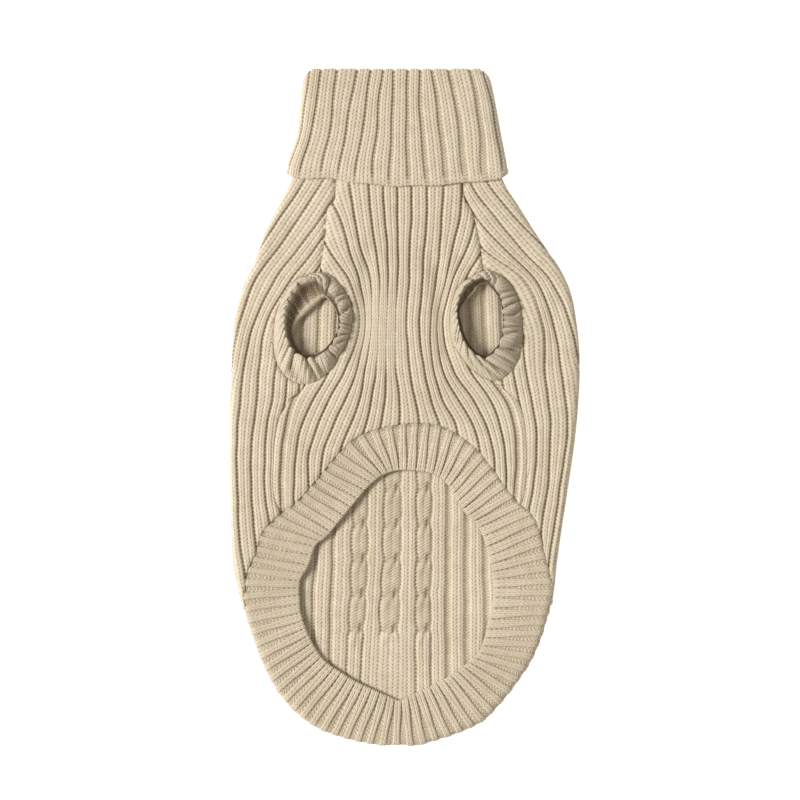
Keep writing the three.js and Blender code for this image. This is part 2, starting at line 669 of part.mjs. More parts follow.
function bellyPanel() {
  const keys = tableKeys(BELLY, 'v');
  const rows = rowsBetween(NECK_SEAM, SEAM_END);
  const outer = rows.map((y) => {
    const valleys = keys.map((key) => along(BELLY, key, y));
    const all = [valleys[0] - BLANK_SPARE, ...valleys, valleys[valleys.length - 1] + BLANK_SPARE];
    return ribColumns(all).map(({ at, rise }) => (
      [at, y, underTop(at, y) + WALL + rise * riseAt(y)]));
  });
  const inner = rows.map((y, r) => {
    const [first, last] = [outer[r][0][0], outer[r][outer[r].length - 1][0]];
    return Array.from({ length: PANEL_SPANS + 1 }, (_, i) => {
      const x = mix(first, last, i / PANEL_SPANS);
      return [x, y, underTop(x, y)];
    });
  });
  const blank = solidOf(wallOf(outer, inner));
  const shape = blockOver(seamPlan(-SEAM_GAP / 2), 0, CUT_TOP);
  const holes = blockOver(cuffCuts[0], 0, CUT_TOP).add(blockOver(cuffCuts[1], 0, CUT_TOP));
  return geometryFrom(blank.intersect(shape).subtract(holes).subtract(blockOver(bandCut, 0, CUT_TOP)));
}

// Where a point at a distance in from the outline lies along the round of the side fold.
function foldLength(distance, radius) {
  if (distance >= radius) {
    return distance - radius + Math.PI * radius / 2;
  }
  return distance > 0 ? radius * Math.acos(1 - distance / radius) : distance;
}

function backPanel(band) {
  const rows = rowsBetween(NECK_SEAM, BACK_END);
  const sideOf = (side) => (side < 0 ? 'left' : 'right');
  const flapEnd = (y, side) => side * along(SEAMS, sideOf(side), Math.max(y, SEAM_END));
  const point = (y, side, length, radius, rise, foot) => {
    const edge = along(OUTLINE, sideOf(side), y);
    const outerRadius = radiusAt(edge, y);
    const centre = floorOf(y) + outerRadius;
    const angle = THREE.MathUtils.clamp(length / outerRadius, -Math.PI / 2, Math.PI / 2);
    const past = Math.abs(length) - outerRadius * Math.PI / 2;
    const reach = radius + rise * Math.max(0, Math.sin(angle));
    let x = edge - side * (outerRadius - reach * Math.cos(angle));
    let z = centre + reach * Math.sin(angle);
    if (past > 0) {
      x -= side * past;
      z = length > 0 ? underTop(x, y) + (foot ? 0 : WALL) + rise : centre - reach;
    }
    return [x, y, z];
  };
  const outer = rows.map((y) => {
    const half = (side, letter) => {
      const edge = along(OUTLINE, sideOf(side), y);
      const radius = radiusAt(edge, y);
      const topY = Math.max(y, FLAP_END);
      const topEdge = along(OUTLINE, sideOf(side), topY);
      const end = flapEnd(y, side);
      const kept = (x) => {
        const beyond = end - side * x;
        return beyond > 0 ? end - FLAP_SPARE * (1 - Math.exp(-beyond / (2 * FLAP_SPARE))) : side * x;
      };
      const lines = tableKeys(FLAPS, letter).map((key) => along(FLAPS, key, topY));
      const all = [lines[0] - side * 2 * FLAP_SPARE, ...lines];
      const lengths = all.map((x) => foldLength(side * topEdge - kept(x), radius));
      const last = lengths[lengths.length - 1];
      const under = -Math.PI * radius / 2 - UNDER_START;
      lengths.push(mix(last, under, 0.5), under);
      return ribColumns(lengths).map(({ at, rise }) => point(y, side, at, radius, rise * riseAt(y), false));
    };
    const [left, right] = [half(-1, 'l'), half(1, 'r').reverse()];
    const [from, to] = [left[left.length - 1][0], right[0][0]];
    const under = UNDER_SHARES.map((share) => [mix(from, to, share), y, floorOf(y)]);
    return [...left, ...under, ...right];
  });
  const inner = rows.map((y, r) => {
    const keys = tableKeys(INSIDE, 'i');
    const sides = [-1, 1].map((side) => {
      const edge = along(OUTLINE, sideOf(side), y);
      const radius = radiusAt(edge, y);
      const tip = outer[r][side < 0 ? 0 : outer[r].length - 1];
      const distance = Math.abs(tip[0] - edge);
      return [distance, mix(distance, radius, 0.5), radius].map((value) => (
        point(y, side, foldLength(value, radius), radius - WALL, 0, true)))
        .concat(INNER_TURNS.map((share) => (
          point(y, side, share * Math.PI * radius, radius - WALL, 0, true))));
    });
    const valleys = keys.map((key) => along(INSIDE, key, y));
    const [left, right] = sides.map((points) => points[points.length - 1][0]);
    const spread = [mix(left, valleys[0], INNER_MARGIN), ...valleys,
      mix(right, valleys[valleys.length - 1], INNER_MARGIN)];
    const cable = (x) => CABLES.some((key) => {
      const i = keys.indexOf(key);
      return x > valleys[i] && x < valleys[i + 1];
    });
    const columns = ribColumns(spread).map(({ at, rise }) => {
      const crossed = cable(at) && y > CABLE_END;
      const sway = crossed ? CABLE_SWAY * Math.sin(2 * Math.PI * y / CABLE_CROSSING) : 0;
      const height = rise * riseAt(y) * (crossed ? CABLE_RISE : 1);
      return [at + sway, y, floorOf(y) + WALL + height];
    });
    return [...sides[0], ...columns, ...sides[1].reverse()];
  });
  const blank = solidOf(wallOf(outer, inner));
  const above = topLayerCut(CUT_LOW, CUT_TOP, SEAM_GAP / 2);
  const neckBox = [[-FAR, CUT_CHANGE], [FAR, CUT_CHANGE], [FAR, FAR * 2], [-FAR, FAR * 2]];
  const cutAbove = above.subtract(blockOver(neckBox, 0, NECK_CUT_LOW));
  const clear = [[-FAR, LEFT_WRAP[1]], LEFT_WRAP, ...returnLine(), RIGHT_WRAP,
    [FAR, RIGHT_WRAP[1]], [FAR, -2 * FAR], [-FAR, -2 * FAR]];
  return geometryFrom(blank.subtract(cutAbove).subtract(blockOver(clear, -FAR, FAR)).subtract(band));
}

function radiusAt(edge, y) {
  return (underTop(edge, y) + WALL - floorOf(y)) / 2;
}

// The line under the garment where the band, folded right round, meets the back.
function returnLine() {
  const inset = BAND_FOLD + BAND_RETURN + RIM + SEAM_GAP;
  const turns = bandTurns().filter((turn) => around(BAND, 'turned', turn) >= 1);
  return turns.reverse().map((turn) => {
    const [freeX, freeY] = [around(BAND, 'freeX', turn), around(BAND, 'freeY', turn)];
    const [outX, outY] = [around(BAND, 'outX', turn), around(BAND, 'outY', turn)];
    const share = inset / Math.hypot(outX - freeX, outY - freeY);
    return [mix(outX, freeX, share), mix(outY, freeY, share)];
  });
}

const cloth = {
  panel: { color: '#cdbb9e', roughness: 0.95, metalness: 0 },
  rib: { color: '#cbb99d', roughness: 0.95, metalness: 0 },
};

function named(name, geometry, look) {
  const mesh = new THREE.Mesh(geometry, new THREE.MeshStandardMaterial(look));
  mesh.name = name;
  return mesh;
}

const group = new THREE.Group();
group.add(named('back_panel', backPanel(solidOf(hemBand(0.7 * SEAM_GAP))), cloth.panel));
group.add(named('belly_panel', bellyPanel(), cloth.panel));
group.add(named('collar', collar(), cloth.rib));
group.add(named('leg_cuff_left', legCuff(LEFT_CUFF), cloth.rib));
group.add(named('leg_cuff_right', legCuff(RIGHT_CUFF), cloth.rib));
group.add(named('hem_band', hemBand(), cloth.rib));

export default group;
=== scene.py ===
"""A dog's knitted turtleneck sweater, laid flat with its belly side up, seen from straight above."""
import math
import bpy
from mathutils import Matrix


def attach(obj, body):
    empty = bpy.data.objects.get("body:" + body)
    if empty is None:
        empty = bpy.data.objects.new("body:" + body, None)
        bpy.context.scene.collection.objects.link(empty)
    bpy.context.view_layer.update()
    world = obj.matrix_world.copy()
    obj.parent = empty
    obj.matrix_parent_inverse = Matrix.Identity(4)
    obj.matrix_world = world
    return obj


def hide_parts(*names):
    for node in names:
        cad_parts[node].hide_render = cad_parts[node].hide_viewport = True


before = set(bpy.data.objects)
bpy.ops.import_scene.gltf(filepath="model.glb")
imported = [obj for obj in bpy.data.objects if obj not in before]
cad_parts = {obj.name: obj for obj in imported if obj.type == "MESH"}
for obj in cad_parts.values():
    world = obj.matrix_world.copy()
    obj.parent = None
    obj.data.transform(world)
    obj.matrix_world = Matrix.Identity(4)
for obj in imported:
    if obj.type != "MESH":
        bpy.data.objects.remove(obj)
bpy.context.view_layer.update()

from types import SimpleNamespace

import bpy
import numpy as np
from bpy.props import FloatProperty, FloatVectorProperty, PointerProperty
from mathutils import Vector

bl_info = {
    "name": "Knitted dog sweater",
    "version": (1, 0, 0),
    "blender": (4, 5, 0),
    "location": "3D View > Sidebar > Sweater",
    "description": "Makes the cloth of a knitted dog sweater round its solids, and a plain stage",
    "category": "Object",
}

MM = 0.001


def linear(code):
    """A colour for the shaders from an sRGB hex value such as #cdbb9e."""
    parts = [int(code[i:i + 2], 16) / 255 for i in (1, 3, 5)]
    return tuple(p / 12.92 if p <= 0.04045 else ((p + 0.055) / 1.055) ** 2.4 for p in parts)


def table(names, *rows):
    """Named columns from a line of names and rows of numbers."""
    return dict(zip(names.split(), np.array(rows, float).T))


# Sizes in the tables are millimetres, in the frame's axes.

# Columns of a table of creases: from one point to another, its width and its depth
CREASE = "x1 y1 x2 y2 width depth"

# Outline of the body seen from above, from the neck to the hem
OUTLINE = table(
    "y left right",
    (161, -66.5, 58), (152, -69.5, 60), (142, -71, 61.5), (126.5, -78.5, 71),
    (113.5, -85.5, 79), (101.5, -90, 87), (88.5, -95, 96), (74.5, -101.5, 103),
    (53.5, -106.5, 107.5), (23.5, -108.5, 109.5), (-15.5, -109.5, 107), (-51.5, -109, 102),
    (-95.5, -107.5, 95.5), (-114, -104, 93.5), (-128, -100.5, 91), (-143, -95, 86.5),
    (-156.5, -90.5, 79.5), (-174, -81, 69), (-190, -68, 56), (-206, -44, 24))

# Seams between the back, which wraps round both sides, and the belly
SEAMS = table(
    "y left right",
    (165, -43.5, 36.5), (130, -43.5, 37.5), (124.5, -48, 41.5), (106.5, -49.5, 46.5),
    (84.5, -53, 49.5), (14, -62, 60), (4.5, -71.5, 70.5), (-11, -79.5, 75.5),
    (-42, -82, 76.5), (-58, -80.5, 74), (-72, -72, 68))

# Valleys between the belly's ribs, left to right, at each height
BELLY = table(
    "y v1 v2 v3 v4 v5 v6 v7 v8 v9 v10 v11 v12 v13 v14 v15",
    (161, -84, -74.5, -65.5, -54, -34.5, -22, -13, -4.5, 4.5, 14.5, 24.5, 36, 46, 56.5, 69),
    (138, -81, -71.5, -62, -49.5, -34, -22, -13, -4.5, 4.5, 14.5, 24.5, 36, 46, 56.5, 69),
    (117, -74.5, -65.5, -56, -39.5, -30.5, -20.5, -12, -4, 4.5, 14, 23.5, 34.5, 44, 54.5, 67),
    (98.5, -68.5, -59, -47, -34.5, -27, -17.5, -10.5, -4, 3.5, 12.5, 22, 30, 39, 48.5, 63),
    (79.5, -61.5, -49.5, -34.5, -28, -21, -15.5, -10, -4, 3, 11.5, 20, 26, 30, 38.5, 56.5),
    (51.5, -51.5, -41.5, -27.5, -24.5, -20.5, -16, -11, -5.5, 1.5, 9.5, 16.5, 20.5, 24, 33.5, 50.5),
    (23.5, -58.5, -46.5, -37, -29.5, -24.5, -17.5, -11.5, -5, 3.5, 12.5, 18.5, 24, 30.5, 41, 52),
    (4.5, -69, -57, -47, -37, -28, -20.5, -12, -3, 7, 17, 24, 34, 43.5, 54, 64),
    (-11, -73, -64, -54, -44, -33.5, -24, -14.5, -3, 9.5, 22, 32.5, 43, 51, 60, 69.5),
    (-29.5, -76, -67.5, -59.5, -51, -40.5, -30.5, -20.5, -5.5, 9, 23, 34.5, 48, 56, 63, 71),
    (-51.5, -76.5, -69, -59.5, -52, -43, -34, -24, -8, 8.5, 23, 36, 49, 57, 64, 69.5),
    (-72, -75, -68, -59, -51.5, -43, -34, -24, -8, 8.5, 23, 36, 49, 57, 64, 68))

# Valleys between the back's ribs where it shows on top, from the seam out to the fold
FLAPS = table(
    "y l5 l4 l3 l2 l1 r5 r4 r3 r2 r1",
    (161, -6, -18.5, -29.5, -40.5, -51.5, 16, 22, 27, 33, 42),
    (138, -20.5, -31, -39.5, -53, -64.5, 22, 29.5, 34.5, 42.5, 53.5),
    (117, -34, -44, -53, -66.5, -78.5, 29.5, 38.5, 46, 58.5, 71),
    (98.5, -45.5, -56, -66.5, -79.5, -90.5, 39.5, 50, 63.5, 73.5, 88.5),
    (79.5, -59, -71, -81, -93, -101, 53.5, 75, 82, 91.5, 102),
    (51.5, -74, -86.5, -94, -103, -112, 72, 86.5, 93.5, 104, 112),
    (23.5, -80.5, -90.5, -100.5, -108, -118, 76, 88, 98, 109.5, 117),
    (4.5, -82.5, -92, -102, -111.5, -120, 79.5, 90, 101, 111, 118),
    (-11, -85.5, -94, -104, -112, -121, 82.5, 91.5, 102, 110.5, 118),
    (-29.5, -87, -95.5, -104.5, -112, -121, 82.5, 91, 100.5, 108, 116),
    (-51.5, -87, -95.5, -104, -111.5, -120, 80.5, 89.5, 97, 105.5, 113),
    (-70.5, -84.5, -94, -103.5, -111, -119, 77, 86.5, 94.5, 103.5, 111),
    (-95.5, -81, -92, -101, -109.5, -118, 74.5, 84.5, 90.5, 99.5, 107),
    (-120, -78, -89, -96.5, -106, -114, 72, 82, 86, 94.5, 102))

# Valleys on the inside of the back. Three of the columns between them are cables.
INSIDE = table(
    "y i1 i2 i3 i4 i5 i6 i7 i8 i9 i10 i11 i12 i13",
    (161, -50, -41, -34, -28, -20, -10, -1, 8, 17, 26, 34, 42, 48),
    (60, -64, -53, -42, -31, -22, -11, -2, 8, 17, 28, 39.5, 50, 61),
    (-95, -66.5, -55.5, -44.5, -33, -23, -13.5, -2, 7.5, 17, 27.5, 39, 50.5, 62),
    (-120, -68, -57, -45.5, -34, -24, -15, -3, 7, 16.5, 27, 39, 51.5, 63),
    (-206, -70, -58, -48, -38.5, -30, -18, -4, 7.5, 17, 28, 39.5, 50, 61.5))
CABLES = ("i4", "i6", "i8")

# The hem band, clockwise from the middle of the belly: its free edge, its outer edge, and how
# far it has turned under there (0 is sewn to a panel on top, 1 is folded right round)
BAND = table(
    "freeX freeY outX outY turned",
    (-1, -39, -1, -10.5, 0), (16.5, -41, 22.5, -11.5, 0), (26, -47, 42, -23, 0),
    (31.5, -56, 53, -35.5, 0), (37, -64.5, 61, -46.5, 0), (44, -71.5, 70, -58.5, 0),
    (48, -78, 79, -66, 0), (52, -89.5, 84, -76, 0), (54.5, -99.5, 87.5, -91, 0),
    (55.5, -107.5, 91, -104.5, 0), (55.5, -118.5, 92.5, -119, 0.2), (52, -136, 88.5, -134.5, 1),
    (48.5, -148.5, 82.5, -151.5, 1), (44, -156, 74.5, -166, 1), (34, -163.5, 59.5, -185.5, 1),
    (23.5, -170.5, 44, -199, 1), (4, -180, 11, -210.5, 1), (-3, -183, -3, -211, 1),
    (-12, -179.5, -20.5, -210.5, 1), (-28.5, -172, -45, -204.5, 1),
    (-39.5, -165.5, -61.5, -196, 1), (-51.5, -156.5, -77, -181, 1),
    (-59.5, -143, -88.5, -160.5, 1), (-64.5, -129, -97, -138, 1),
    (-65.5, -118, -100.5, -123.5, 0.3), (-65.5, -112, -99.5, -112.5, 0),
    (-64.5, -106.5, -98, -102, 0), (-60, -99, -93, -92, 0), (-55.5, -86.5, -88.5, -78, 0),
    (-49, -81, -76, -65.5, 0), (-43.5, -74.5, -66.5, -58.5, 0), (-28, -55.5, -51.5, -41.5, 0),
    (-19.5, -46.5, -43.5, -31.5, 0), (-12, -41.5, -27.5, -17.5, 0))

# The leg cuffs, clockwise from the raglan seam: the seam they stand on, the crest of the rim,
# and the lower edge of the turned-in inner layer
LEFT_CUFF = table(
    "seamX seamY rimX rimY innerX innerY",
    (-53, 84.5, -54.5, 80.5, -51, 68), (-44.5, 82, -49, 74.5, -49, 68.5),
    (-38.5, 74.5, -44.5, 71.5, -46.5, 66), (-33.5, 65.5, -41.5, 65.5, -43.5, 61.5),
    (-32.5, 56, -39.5, 58, -41.5, 56), (-34, 46, -40.5, 48, -42, 48),
    (-38.5, 35.5, -44.5, 39.5, -46.5, 40.5), (-45.5, 24, -50.5, 33, -51.5, 35.5),
    (-55.5, 16, -56.5, 30.5, -57, 33.5), (-66.5, 15, -64, 31, -63, 34),
    (-76, 21, -70.5, 36, -67, 38.5), (-81, 32, -74, 44.5, -69.5, 44.5),
    (-82, 44.5, -75, 53.5, -69, 49), (-80.5, 58, -74, 63, -66, 54),
    (-75.5, 69.5, -70.5, 72, -61, 59), (-68, 79.5, -64.5, 79.5, -55.5, 64))
RIGHT_CUFF = table(
    "seamX seamY rimX rimY innerX innerY",
    (49.5, 85.5, 46.5, 81, 47, 76.5), (58, 84, 53, 80, 52, 76.5),
    (65, 78.5, 57, 75.5, 56, 72.5), (70, 71, 60.5, 69, 59.5, 67.5),
    (73, 61, 62, 61.5, 61, 61), (74, 49, 62.5, 50.5, 61.5, 50.5),
    (73.5, 37.5, 60.5, 40.5, 59.5, 41), (70, 27, 56, 33.5, 54.5, 35),
    (62.5, 18.5, 51, 30.5, 50.5, 32.5), (53.5, 17, 45.5, 32, 46, 34),
    (42.5, 23.5, 40, 36.5, 42, 38), (34.5, 33, 36, 43, 38, 44.5),
    (29.5, 43, 33.5, 51.5, 35.5, 53), (28.5, 55.5, 32.5, 61, 34.5, 61),
    (30, 67, 34, 69, 38.5, 66.5), (35, 77, 38.5, 77, 43.5, 71.5))

# The collar: its outline and the valleys between its ribs, at each height
COLLAR = table(
    "y left v1 v2 v3 v4 v5 v6 v7 v8 v9 v10 v11 v12 v13 right",
    (211, -63, -59, -51.5, -42, -29, -20.5, -13, -6.5, 2.5, 10, 17.5, 27.5, 41, 49, 52.5),
    (192, -65, -61.5, -54.5, -44, -33, -23.5, -15.5, -7, 2, 10, 20.5, 32, 45.5, 54, 56.5),
    (170, -67.5, -65, -58, -46.5, -36.5, -26, -17, -7.5, 2, 11.5, 23.5, 35.5, 48.5, 58, 60.5),
    (152, -73, -71, -64, -51, -40, -30, -19.5, -8.5, 2.5, 13.5, 25.5, 37, 49.5, 61, 64),
    (138, -76, -73.5, -66, -53, -42, -31, -19.5, -9, 3, 14.5, 27, 39, 51, 62.5, 66))
COLLAR_EDGE = table(
    "x y",
    (-76, 146.5), (-70, 143.5), (-45, 142.5), (-25, 139.5), (0, 138), (25, 139),
    (50, 141.5), (60, 142.5), (66, 146.5))

# Half the width of each wide purl valley, where it is more than the usual
WIDE_COLLAR = {"v6": 0.6, "v7": 0.9, "v8": 1.2, "v9": 1.5, "v10": 1.8, "v11": 2.0, "v12": 2.1,
               "v13": 0.9}
WIDE_BELLY = {"v1": 1.2, "v15": 1.2}
WIDE_INSIDE = {"i1": 1.3, "i2": 0.9, "i3": 0.9, "i10": 1.5, "i11": 1.5, "i12": 1.5, "i13": 1.2}
# Valleys that stop where the cables end, with the share of their depth that goes on
STOPPED = {"i6": 0.1, "i7": 0.1}

# Creases of the gathered leg cuffs: clockwise from the neck's side, and their depth
LEFT_GATHERS = table(
    "angle depth",
    (5, 0.9), (17, 0.7), (27, 1.2), (48, 1.4), (58, 0.8), (79, 1.4), (97, 1.1), (106, 0.8),
    (124, 1.5), (140, 1.0), (151, 1.5), (176, 0.8), (187, 1.7), (208, 1.6), (219, 0.8), (236, 0.5),
    (250, 0.5), (262, 0.35), (278, 0.5), (292, 0.35), (310, 0.8), (324, 0.6), (340, 0.9))
RIGHT_GATHERS = table(
    "angle depth",
    (2, 0.7), (14, 0.9), (21, 0.7), (38, 1.1), (49, 0.9), (66, 1.6), (86, 1.7), (95, 0.8),
    (112, 1.7), (128, 1.2), (149, 1.7), (160, 0.9), (176, 1.3), (190, 1.0), (206, 0.9), (219, 0.6),
    (240, 0.55), (254, 0.6), (268, 0.45), (284, 0.55), (299, 0.6), (315, 0.7), (332, 0.7),
    (347, 0.8))

# Soft troughs (depth above 0) and ridges (below 0) in the top layer
CREASES = table(
    CREASE,
    (19, 90, 27, 36, 5.5, 2.0), (31, 100, 40, 84, 4, 0.5), (-23, 92, -28, 36, 5, 1.5),
    (-12, 70, -9, 40, 9, -0.5), (4, 60, 8, 30, 8, -0.4), (-45, 12, -60, -12, 6, 0.5),
    (40, 12, 58, -6, 6, 0.5), (-96, 60, -92, 20, 7, 0.5), (96, 70, 92, 25, 6, 0.6),
    (-70, 110, -86, 84, 6, 0.5), (60, 112, 82, 84, 5, 0.5), (-95, -30, -92, -80, 6, 0.4),
    (90, -25, 88, -85, 5, 0.4), (-20, 5, 10, -4, 8, -0.4))

# The same on the face that lies on the surface
UNDER_CREASES = table(
    CREASE,
    (-70, 100, -84, 20, 8, 0.5), (78, 90, 88, 10, 9, 0.4), (-30, 120, -20, 60, 10, 0.35),
    (22, 60, 34, -20, 9, 0.4), (-60, -20, -74, -100, 9, 0.4), (50, -60, 66, -130, 8, 0.45),
    (-12, -40, 6, -120, 10, 0.3))

# One crossing of a cable: across in shares of its width, along in millimetres from its middle
CROSSING = table(
    CREASE,
    (0.8, 1.6, 0.7, -1.6, 1.1, 2.4), (0.15, -8, 0.62, -1.5, 1.4, -0.8),
    (0.97, -5, 0.93, 3.5, 0.9, -0.7), (0.45, 1, 0.2, -1.5, 1.1, 0.7))

NECK_SEAM = 161.0
RAMP = (130.0, 144.0)           # the neck's lift onto the collar begins and is complete
NECK_LIFT = 3.0
NECK_UNDER = 6.8                # underside of the top layer at the neck
NECK_RISE = 0.8                 # a rib's back over the cloth there
NECK_DEPTH = 1.1                # a rib's back over its valleys there
CREST = 1.2                     # a rib's back stands this far over the cloth
SIDE_UNDER = 5.6                # underside of the top layer at the side folds
PUFF = 0.9                      # the top layer is higher by this much along its middle
PUFF_REACH = 75.0
RAGLAN = (70.0, 95.0)           # over these heights the side seams become the raglan seams
BACK_END = -206.0
FLAP_END = -120.0
SEAM_START = 170.0
SEAM_END = -72.0
FLAT_AT = (-11.0, 48.0)         # the belly is pulled flat round this point,
FLAT_REACH = (11.5, 25.0)       # this far across and along,
FLAT_SHARE = 0.9                # and this share of the ribs' depth is gone there
RIB_PITCH = 6.0                 # narrower ribs have narrower valleys
DEEP_PITCH = 6.5                # and shallower ones
LEAST_DEEP = 0.25
RIB_GROOVE = 0.17               # depth of the groove between a rib's two wales, for a rib 1 high
FAR = 1000.0                    # further than any point of the garment
OUTSIDE = 300.0                 # a place outside it on every side
FINE_TURNS = 1441               # points for measuring along a closed line
BELLY_ROW = 0.8                 # its rows of the mesh, as shares of the usual
BACK_ROW = 1.22
BELLY_TRIM = 1.7                # points this near a cut edge are moved onto it
BACK_TRIM = 2.2
LEFT_WRAP = (-98.5, -126.5)     # where the side folds end, at the band
RIGHT_WRAP = (90.5, -121.5)
UNDER_START = 4.0               # the ribs run this far past the side folds, underneath
UNDER_RISE = 0.7                # depth of the valleys on the face that lies on the surface
INSIDE_RISE = 0.85              # ribs inside the back, as a share of those on top
CABLE_CROSSING = 22.0
CABLE_CROSSINGS = 6
CABLE_FIRST = -28.3             # the first crossing down from the neck's side
CABLE_END = -140.0
CABLE_LEAN = 0.55               # slope of its stitches
CABLE_PURL = 0.15               # a twisted stitch shows as something between a V and a bump
CABLE_PINCH = 0.9               # a cable is narrower by this much at each side of a crossing
CABLE_SINK = 0.35               # it lies this far below the ribs beside it
COLLAR_HEIGHT = 12.4            # its four layers, between two ribs
COLLAR_TOP = 210.7
COLLAR_CORNER = 5.0             # its top edge falls by this much at its ends
COLLAR_INNER = 2.9              # depth at which its inner layer begins
COLLAR_WALL = 2.4
COLLAR_BACK_EDGE = 147.5
COLLAR_REAR_RIBS = 14
BAND_RIBS = 78
BAND_STEPS = 14                 # stations to a rib
BAND_EDGE = 6.5                 # height of the band's free edge, between ribs
BAND_FOLD = 3.7                 # radius of its turn at the tail end
BAND_RETURN = 3.4               # it goes on this far underneath
BAND_RIM = 0.4
SEWN_BEND = 0.1                 # where it is sewn on top it only bends by this much, in radians,
SEWN_RADIUS = 15.0              # at this radius
CUFF_WALES = 64
CUFF_STEPS = 9                  # stations to a wale
CUFF_LEAN = 9.0                 # degrees that a gather leans over its height
CUFF_LEDGE = 8.2                # height of the inner layer's edge
CUFF_TOP = 15.0
CUFF_WALL = 1.8
CUFF_ROW = 2.1                  # height of a row of its fine knit
CUFF_FINE = 0.12                # its fine ribs rise this far
CUFF_SHADE = 0.14               # and this much shade is painted between them
PURL_ROWS = 1.3                 # rows of purl bumps that show to each row of stitches
SEAM_GAP = 0.1                  # the cloth of two pieces meets this close at a seam

# The stage, in metres
KEY_PLACE = (-3.3, 0.35, 3.1)
KEY_WIDTH = 1.7
FILL_PLACE = (0.7, -0.1, 1.7)
FILL_WIDTH = 1.8
WARM = (1.0, 0.96, 0.88)        # light that has come off a warm wall
FLOOR_REACH = 3.0
CAMERA_OVER = (-0.0028, 0.0047)     # the photograph's middle
GARMENT_MIDDLE = 0.006              # half the garment's height
SENSOR = 36.0                       # of the camera, in millimetres

# Columns of a mesh across one rib, as shares of the way to the next valley
RIB_STEPS = np.array([0, 0.045, 0.1, 0.165, 0.25, 0.36, 0.45, 0.5, 0.55, 0.64, 0.75, 0.835, 0.9, 0.955])
FLAP_STEPS = np.array([0, 0.06, 0.13, 0.22, 0.34, 0.44, 0.5, 0.56, 0.66, 0.78, 0.87, 0.94])
FLOOR_STEPS = np.array([0, 0.08, 0.18, 0.3, 0.44, 0.5, 0.56, 0.7, 0.82, 0.92])

# A leg cuff's rows: up its outer skin from the seam to the rim, and from the rim down its inner
# skin, with how much of the gathers is left there
CUFF_OUTER = (0.0, 0.07, 0.16, 0.27, 0.4, 0.53, 0.66, 0.79, 0.9, 1.0)
CUFF_INNER = table(
    "share height gathers",
    (0.08, CUFF_TOP - 0.5, 0.9), (0.15, CUFF_TOP - 1.6, 0.75), (0.2, 11.5, 0.55), (0.26, 9.2, 0.4),
    (0.36, 7.6, 0.3), (0.52, 6.9, 0.25), (0.68, 7.2, 0.2), (0.8, CUFF_LEDGE - 0.3, 0.15),
    (0.89, CUFF_LEDGE, 0.1), (0.96, 7.4, 0.1), (1.0, 6.5, 0.1))

# The hem band's rows: round its free edge, and across its face, as shares of the way to its turn
BAND_LIP = table(
    "inset drop shown",
    (0.25, 1.6, 0), (-0.1, 1.0, 0), (-0.15, 0.3, 0.2), (0.2, -0.15, 0.4))
BAND_FACE = (0.03, 0.06, 0.1, 0.15, 0.22, 0.3, 0.38, 0.46, 0.54, 0.62, 0.7, 0.78, 0.86, 0.93)

# The collar's rows round its rolled lower edge and over its top fold: along, depth and how much
# of the ribs shows
COLLAR_HEM = table(
    "along depth shown",
    (0.0, 2.0, 0), (-0.1, 1.2, 0.05), (0.0, 0.5, 0.1), (0.6, 0.0, 0.15), (1.6, -0.3, 0.15),
    (2.8, -0.3, 0.2), (4.0, 0.05, 0.45), (5.0, 0.15, 0.85))
COLLAR_FOLD = table(
    "along depth shown",
    (2.8, 0.1, 1), (1.7, 0.4, 1), (0.8, 0.9, 0.8), (0.2, 1.6, 0.5),
    (0.0, 2.3, 0.3), (0.1, 3.0, 0.1), (0.6, 3.8, 0), (1.6, 4.6, 0))

# Noise of the yarn, in repeats to the metre: stitches wander over 4 mm, yarn is spun unevenly over
# 5 mm, and the cloth clouds over 45 mm. Loose fibres are drawn at 0.8 mm, where the real ones are
# 0.03 mm thick and wouldn't show.
WANDER_SCALE = 260.0
SPUN_SCALE = 190.0
CLOUD_SCALE = 22.0
FIBRE_SCALE = 1250.0

